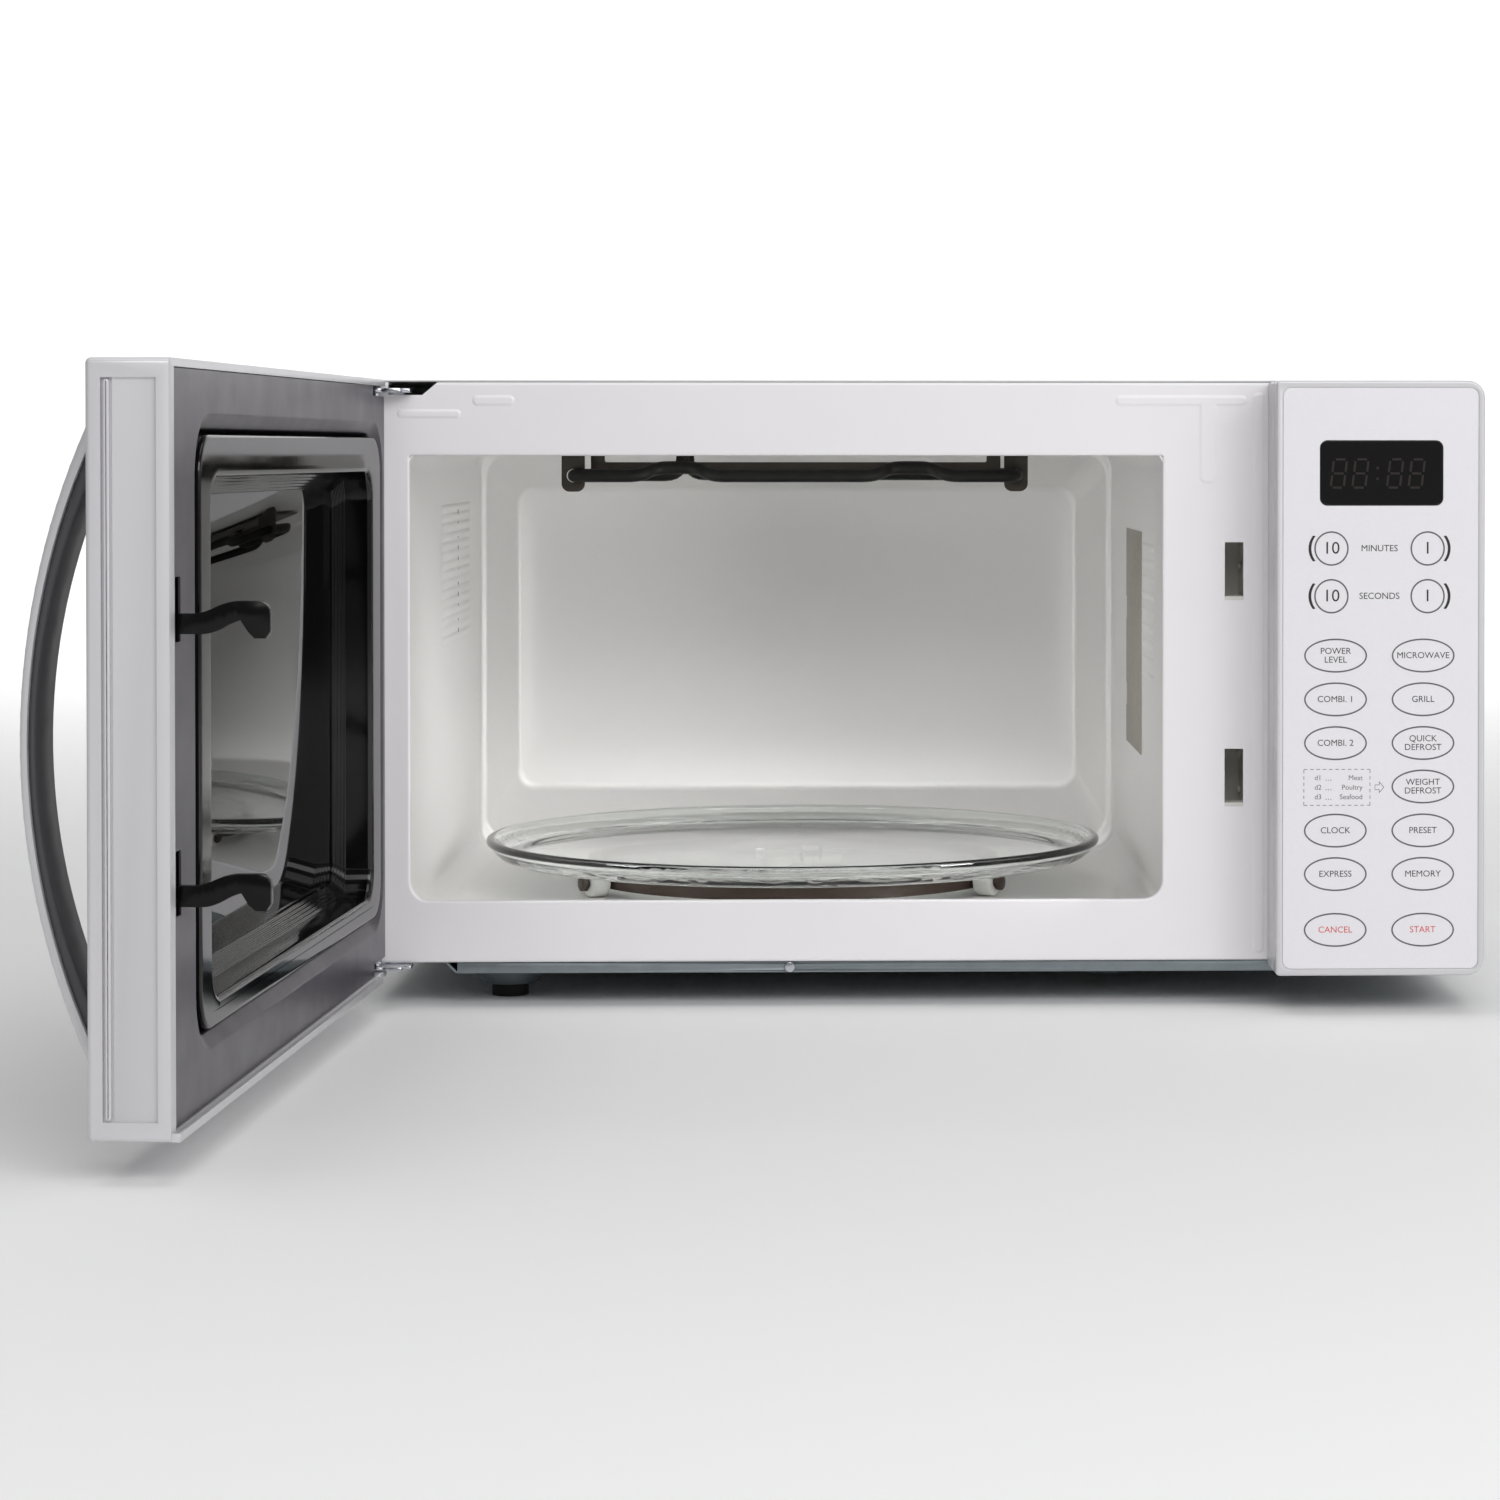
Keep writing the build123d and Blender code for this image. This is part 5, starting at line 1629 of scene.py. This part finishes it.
@dataclass
class Door:
    """The door with its choke pan, window, handle and latch hooks."""

    left: ClassVar[float] = -259.0
    gap: ClassVar[float] = 3.5
    face: Rect = Rect((0.4, 411.4), (19.2, 290.8), 1.0)
    pan: Rect = Rect((10.4, 373.0), (44.5, 269.0), 18.0)
    rim: Rect = Rect((12.4, 371.0), (46.5, 267.0), 16.0)
    window: Rect = Rect((33.0, 353.0), (57.0, 251.0), 13.0)
    screen: Rect = Rect((48.0, 338.0), (72.0, 236.0), 8.0)
    pan_depth: float = 23.0
    cover_depth: float = 13.0
    steps: int = 5
    slots: tuple[Rect, ...] = (
        Rect((400.8, 408.8), (94.6, 118.0), 0.5), Rect((400.8, 408.8), (192.6, 216.0), 0.5),
    )
    pockets: tuple[Rect, ...] = (
        Rect((-1.0, 28.0), (18.6, 24.9), 0.5), Rect((-1.0, 28.0), (286.1, 291.4), 0.5),
    )
    pitch: float = 2.4

    def build(self) -> None:
        """Makes the pressings and the cover, and dresses the rest."""
        refinish(SILVER_ABS, 0.45, "door_shell")
        self.plate()
        self.cover()
        self.perforations()
        self.edge_mouldings()
        refinish(SMOKED_PANE, 0.3, "door_inner_pane")
        refinish(SCREEN_BLACK, 0.1, "door_screen")
        refinish(OUTER_PANE, 0.4, "door_outer_pane")
        refinish(SILVER_ABS, 0.5, "door_handle")
        refinish(GRIP_ABS, 1.2, "handle_grip")
        refinish(HOOK_BLACK, 0.7, "latch_hooks")
        refinish(BRIGHT_ZINC, 0.3, "hinge_pins")
        dress_nodes(SPRING_STEEL, "latch_spring")

    def plate(self) -> None:
        """Dark pressing: a flat face and a deep pan with a bevelled edge, in one sheet."""
        floor, top, under = self.pan_depth, 0.6, 1.4
        edge = [(0.0, under, 0), (0.0, top, 0.4), (1.0, top, 0)]
        pan = [
            (-8.0, top, 0), (-5.4, top, 0.6), (0.2, 4.0, 0.9), (1.0, floor - 1, 1.5),
            (6.0, floor - 1, 0),
        ]
        mouth = [(-2.0, floor - 1, 0), (0.0, floor - 1, 0.3), (0.0, floor, 0), (-2.0, floor, 0)]
        back = [(6.0, floor, 0), (0.2, floor, 0), (-0.6, 4.8, 0), (-5.8, under, 0), (-8.0, under, 0)]
        rings = []
        for outline, section in (
            (self.face, edge), (self.pan, pan), (self.screen, mouth), (self.pan, back),
            (self.face, [(1.0, under, 0), (0.5, under, 0)]),
        ):
            rings += section_rings(door, outline, section)
        piece = stack("door_plate_pressed", rings)
        cut(piece, [plug(door, hole, (-1.0, 3.0)) for hole in (*self.slots, *self.pockets)])
        dress(crisp(piece), "door", DARK_ENAMEL, "door_plate")

    def cover(self) -> None:
        """Glossy frame round the window, stepped down to the inner pane."""
        rim = [(1.5, 2.4, 0), (0.0, 2.4, 0.3), (0.0, 0.2, 1.8), (6.0, 0.2, 0)]
        window = [(-5.0, 0.2, 0), (0.0, 0.2, 2.6), (0.3, self.cover_depth, 0.4)]
        for step in range(self.steps):
            inset, depth = 0.3 + 1.3 * (step + 1), self.cover_depth + step
            window += [(inset, depth, 0.35), (inset, depth + 1.0, 0.35)]
        last = self.cover_depth + self.steps
        window += [(inset, last, 0), (-2.0, last, 0), (-2.0, 2.8, 0)]
        rings = section_rings(door, self.rim, rim) + section_rings(door, self.window, window, shrink=0.5)
        dress(crisp(stack("choke_cover_moulded", rings)), "door", PIANO_BLACK, "choke_cover")

    def perforations(self) -> None:
        """Holes of the screen behind the panes, drawn as dark discs: partly painted shade, partly the black
        outer pane seen through them. They are coarser than the real ones so that they show.
        """
        border, radius, sides = 3.0, 0.62, 6
        row_pitch = self.pitch * 1.732  # a triangular pattern's two rows
        turns = [math.tau * k / sides for k in range(sides)]
        shape = bmesh.new()
        for shift, lift in ((0.0, 0.0), (self.pitch / 2, row_pitch / 2)):
            x, z = self.screen.x[0] + border + shift, self.screen.z[0] + border + lift
            shape.faces.new(
                [
                    shape.verts.new(
                        door(x + radius * math.cos(t), self.pan_depth - 0.04, z + radius * math.sin(t))
                    )
                    for t in turns
                ]
            )
        inward = door(0, -1, 0) - door(0, 0, 0)
        shape.normal_update()
        bmesh.ops.reverse_faces(shape, faces=[f for f in shape.faces if f.normal.dot(inward) < 0])
        columns = int((self.screen.x[1] - self.screen.x[0] - 2 * border) / self.pitch)
        rows = int((self.screen.z[1] - self.screen.z[0] - 2 * border) / row_pitch)
        # The discs are painted shade in place of holes, with the outer pane's own black behind.
        piece = repeated(
            from_bmesh("door_screen_hole_shade", shape),
            HOLE_SHADE,
            columns,
            (door(1, 0, 0) - door(0, 0, 0)) * self.pitch,
            rows,
            Vector((0, 0, row_pitch * MM)),
        )
        dress(piece, "door", HOLE_SHADE)

    def edge_mouldings(self) -> None:
        """Raised lines moulded on the door's free end."""
        def side(out: float, along: float, z: float) -> Vector:
            """The same point of the door, for an outline that lies in its free end."""
            return door(along, out, z)

        lines = (
            (Rect((21.4, 23.6), (23.6, 286.4), 1.0), 417.8, 1.7, 0.7),
            (Rect((2.2, 4.9), (22.6, 287.4), 1.2), 418.9, 1.0, 0.7),
        )
        pieces = []
        for rect, base, rise, soft in lines:
            rings = section_rings(
                side, rect, [(0.0, base, 0), (0.0, base + rise, soft), (soft + 0.3, base + rise, 0)]
            )
            pieces.append(stack("line", rings, closed=False))
        dress(crisp(joined("door_edge_mouldings", pieces)), "door", SILVER_ABS)


# ---------------------------------------------------------------- studio


@dataclass
class Studio:
    """Plain pale floor, soft lights and the camera."""

    lens_mm: float = 88.9
    distance: float = 1735.6
    across: float = -35.0
    height: float = 261.0
    pitch_down: float = 0.89
    turn_right: float = 1.42
    shift: tuple[float, float] = (-0.1263, -0.1612)
    ambient: float = 0.25
    # Name, place and aim in millimetres from the cabinet's middle, size in metres, power, spread.
    lamps: tuple[tuple, ...] = (
        ("key", (500.0, -2400.0, 1500.0), (-50.0, 100.0, 150.0), (3.0, 1.0), 34.0, 180.0),
        ("side", (1500.0, -1500.0, 900.0), (-50.0, 100.0, 150.0), (1.4, 1.4), 8.5, 180.0),
        ("overhead", (0.0, -600.0, 3000.0), (0.0, -600.0, 0.0), (3.0, 2.0), 24.0, 180.0),
        ("backdrop", (0.0, 2500.0, 2600.0), (0.0, 4200.0, 600.0), (3.0, 0.8), 70.0, 180.0),
        ("mouth_top", (-40.0, 5.0, 240.0), (-90.0, 230.0, 50.0), (0.3, 0.03), 0.06, 60.0),
        ("mouth_right", (95.0, 5.0, 150.0), (-240.0, 200.0, 90.0), (0.04, 0.16), 0.11, 80.0),
        ("mouth_left", (-222.0, 5.0, 150.0), (113.0, 200.0, 120.0), (0.04, 0.16), 0.075, 80.0),
    )

    def build(self) -> None:
        """Makes the floor, the lights and the camera."""
        self.floor()
        self.lights()
        self.camera()

    def floor(self) -> None:
        """A pale floor that turns up into a wall behind the oven."""
        shape = bmesh.new()
        near, far, side = -12.0, 4.2, 12.0
        path = rounded_path([((near, 0.0, 0.0), 0), ((far, 0.0, 0.0), 1.2), ((far, 5.0, 0.0), 0)], steps=12)
        ends = [[shape.verts.new((x, p.x, p.y)) for p in path] for x in (-side, side)]
        for a, b, c, d in zip(ends[0], ends[1], ends[1][1:], ends[0][1:]):
            shape.faces.new((a, b, c, d))
        sweep = from_bmesh("studio_sweep", shape)
        sweep.data.materials.append(STUDIO_PAPER.material())

    def lights(self) -> None:
        """Soft white surroundings with a broad key from above and in front."""
        world = bpy.data.worlds.new("studio")
        bpy.context.scene.world = world
        world.use_nodes = True
        back = world.node_tree.nodes["Background"]
        back.inputs["Color"].default_value = (1.0, 1.0, 1.0, 1.0)
        back.inputs["Strength"].default_value = self.ambient
        for name, place, aim_at, size, power, spread in self.lamps:
            lamp = bpy.data.lights.new(name, "AREA")
            lamp.shape = "RECTANGLE"
            lamp.size, lamp.size_y = size
            lamp.energy = power
            lamp.spread = math.radians(spread)
            holder = bpy.data.objects.new(name, lamp)
            holder.visible_camera = False
            holder.location = cabinet(*place)
            holder.rotation_mode = "QUATERNION"
            holder.rotation_quaternion = (cabinet(*aim_at) - cabinet(*place)).to_track_quat("-Z", "Y")
            bpy.context.scene.collection.objects.link(holder)

    def camera(self) -> None:
        """The camera in front of the oven, level with its top."""
        data = bpy.data.cameras.new("camera")
        data.lens = self.lens_mm
        data.shift_x, data.shift_y = self.shift
        camera = bpy.data.objects.new("camera", data)
        camera.location = cabinet(self.across, -self.distance, self.height)
        camera.rotation_euler = (
            math.radians(90 - self.pitch_down), 0.0, -math.radians(self.turn_right)
        )
        bpy.context.scene.collection.objects.link(camera)
        bpy.context.scene.camera = camera
        bpy.context.scene.view_settings.view_transform = "Standard"


def main() -> None:
    """Builds every sub-assembly in order."""
    logging.basicConfig(level=logging.INFO, format="%(message)s")
    for part in (FrontFrame(), Cavity(), Grill(), Turntable(), Cabinet(), Panel(), Door(), Studio()):
        log.info("building %s", type(part).__name__)
        part.build()


if __name__ == "__main__":
    main()
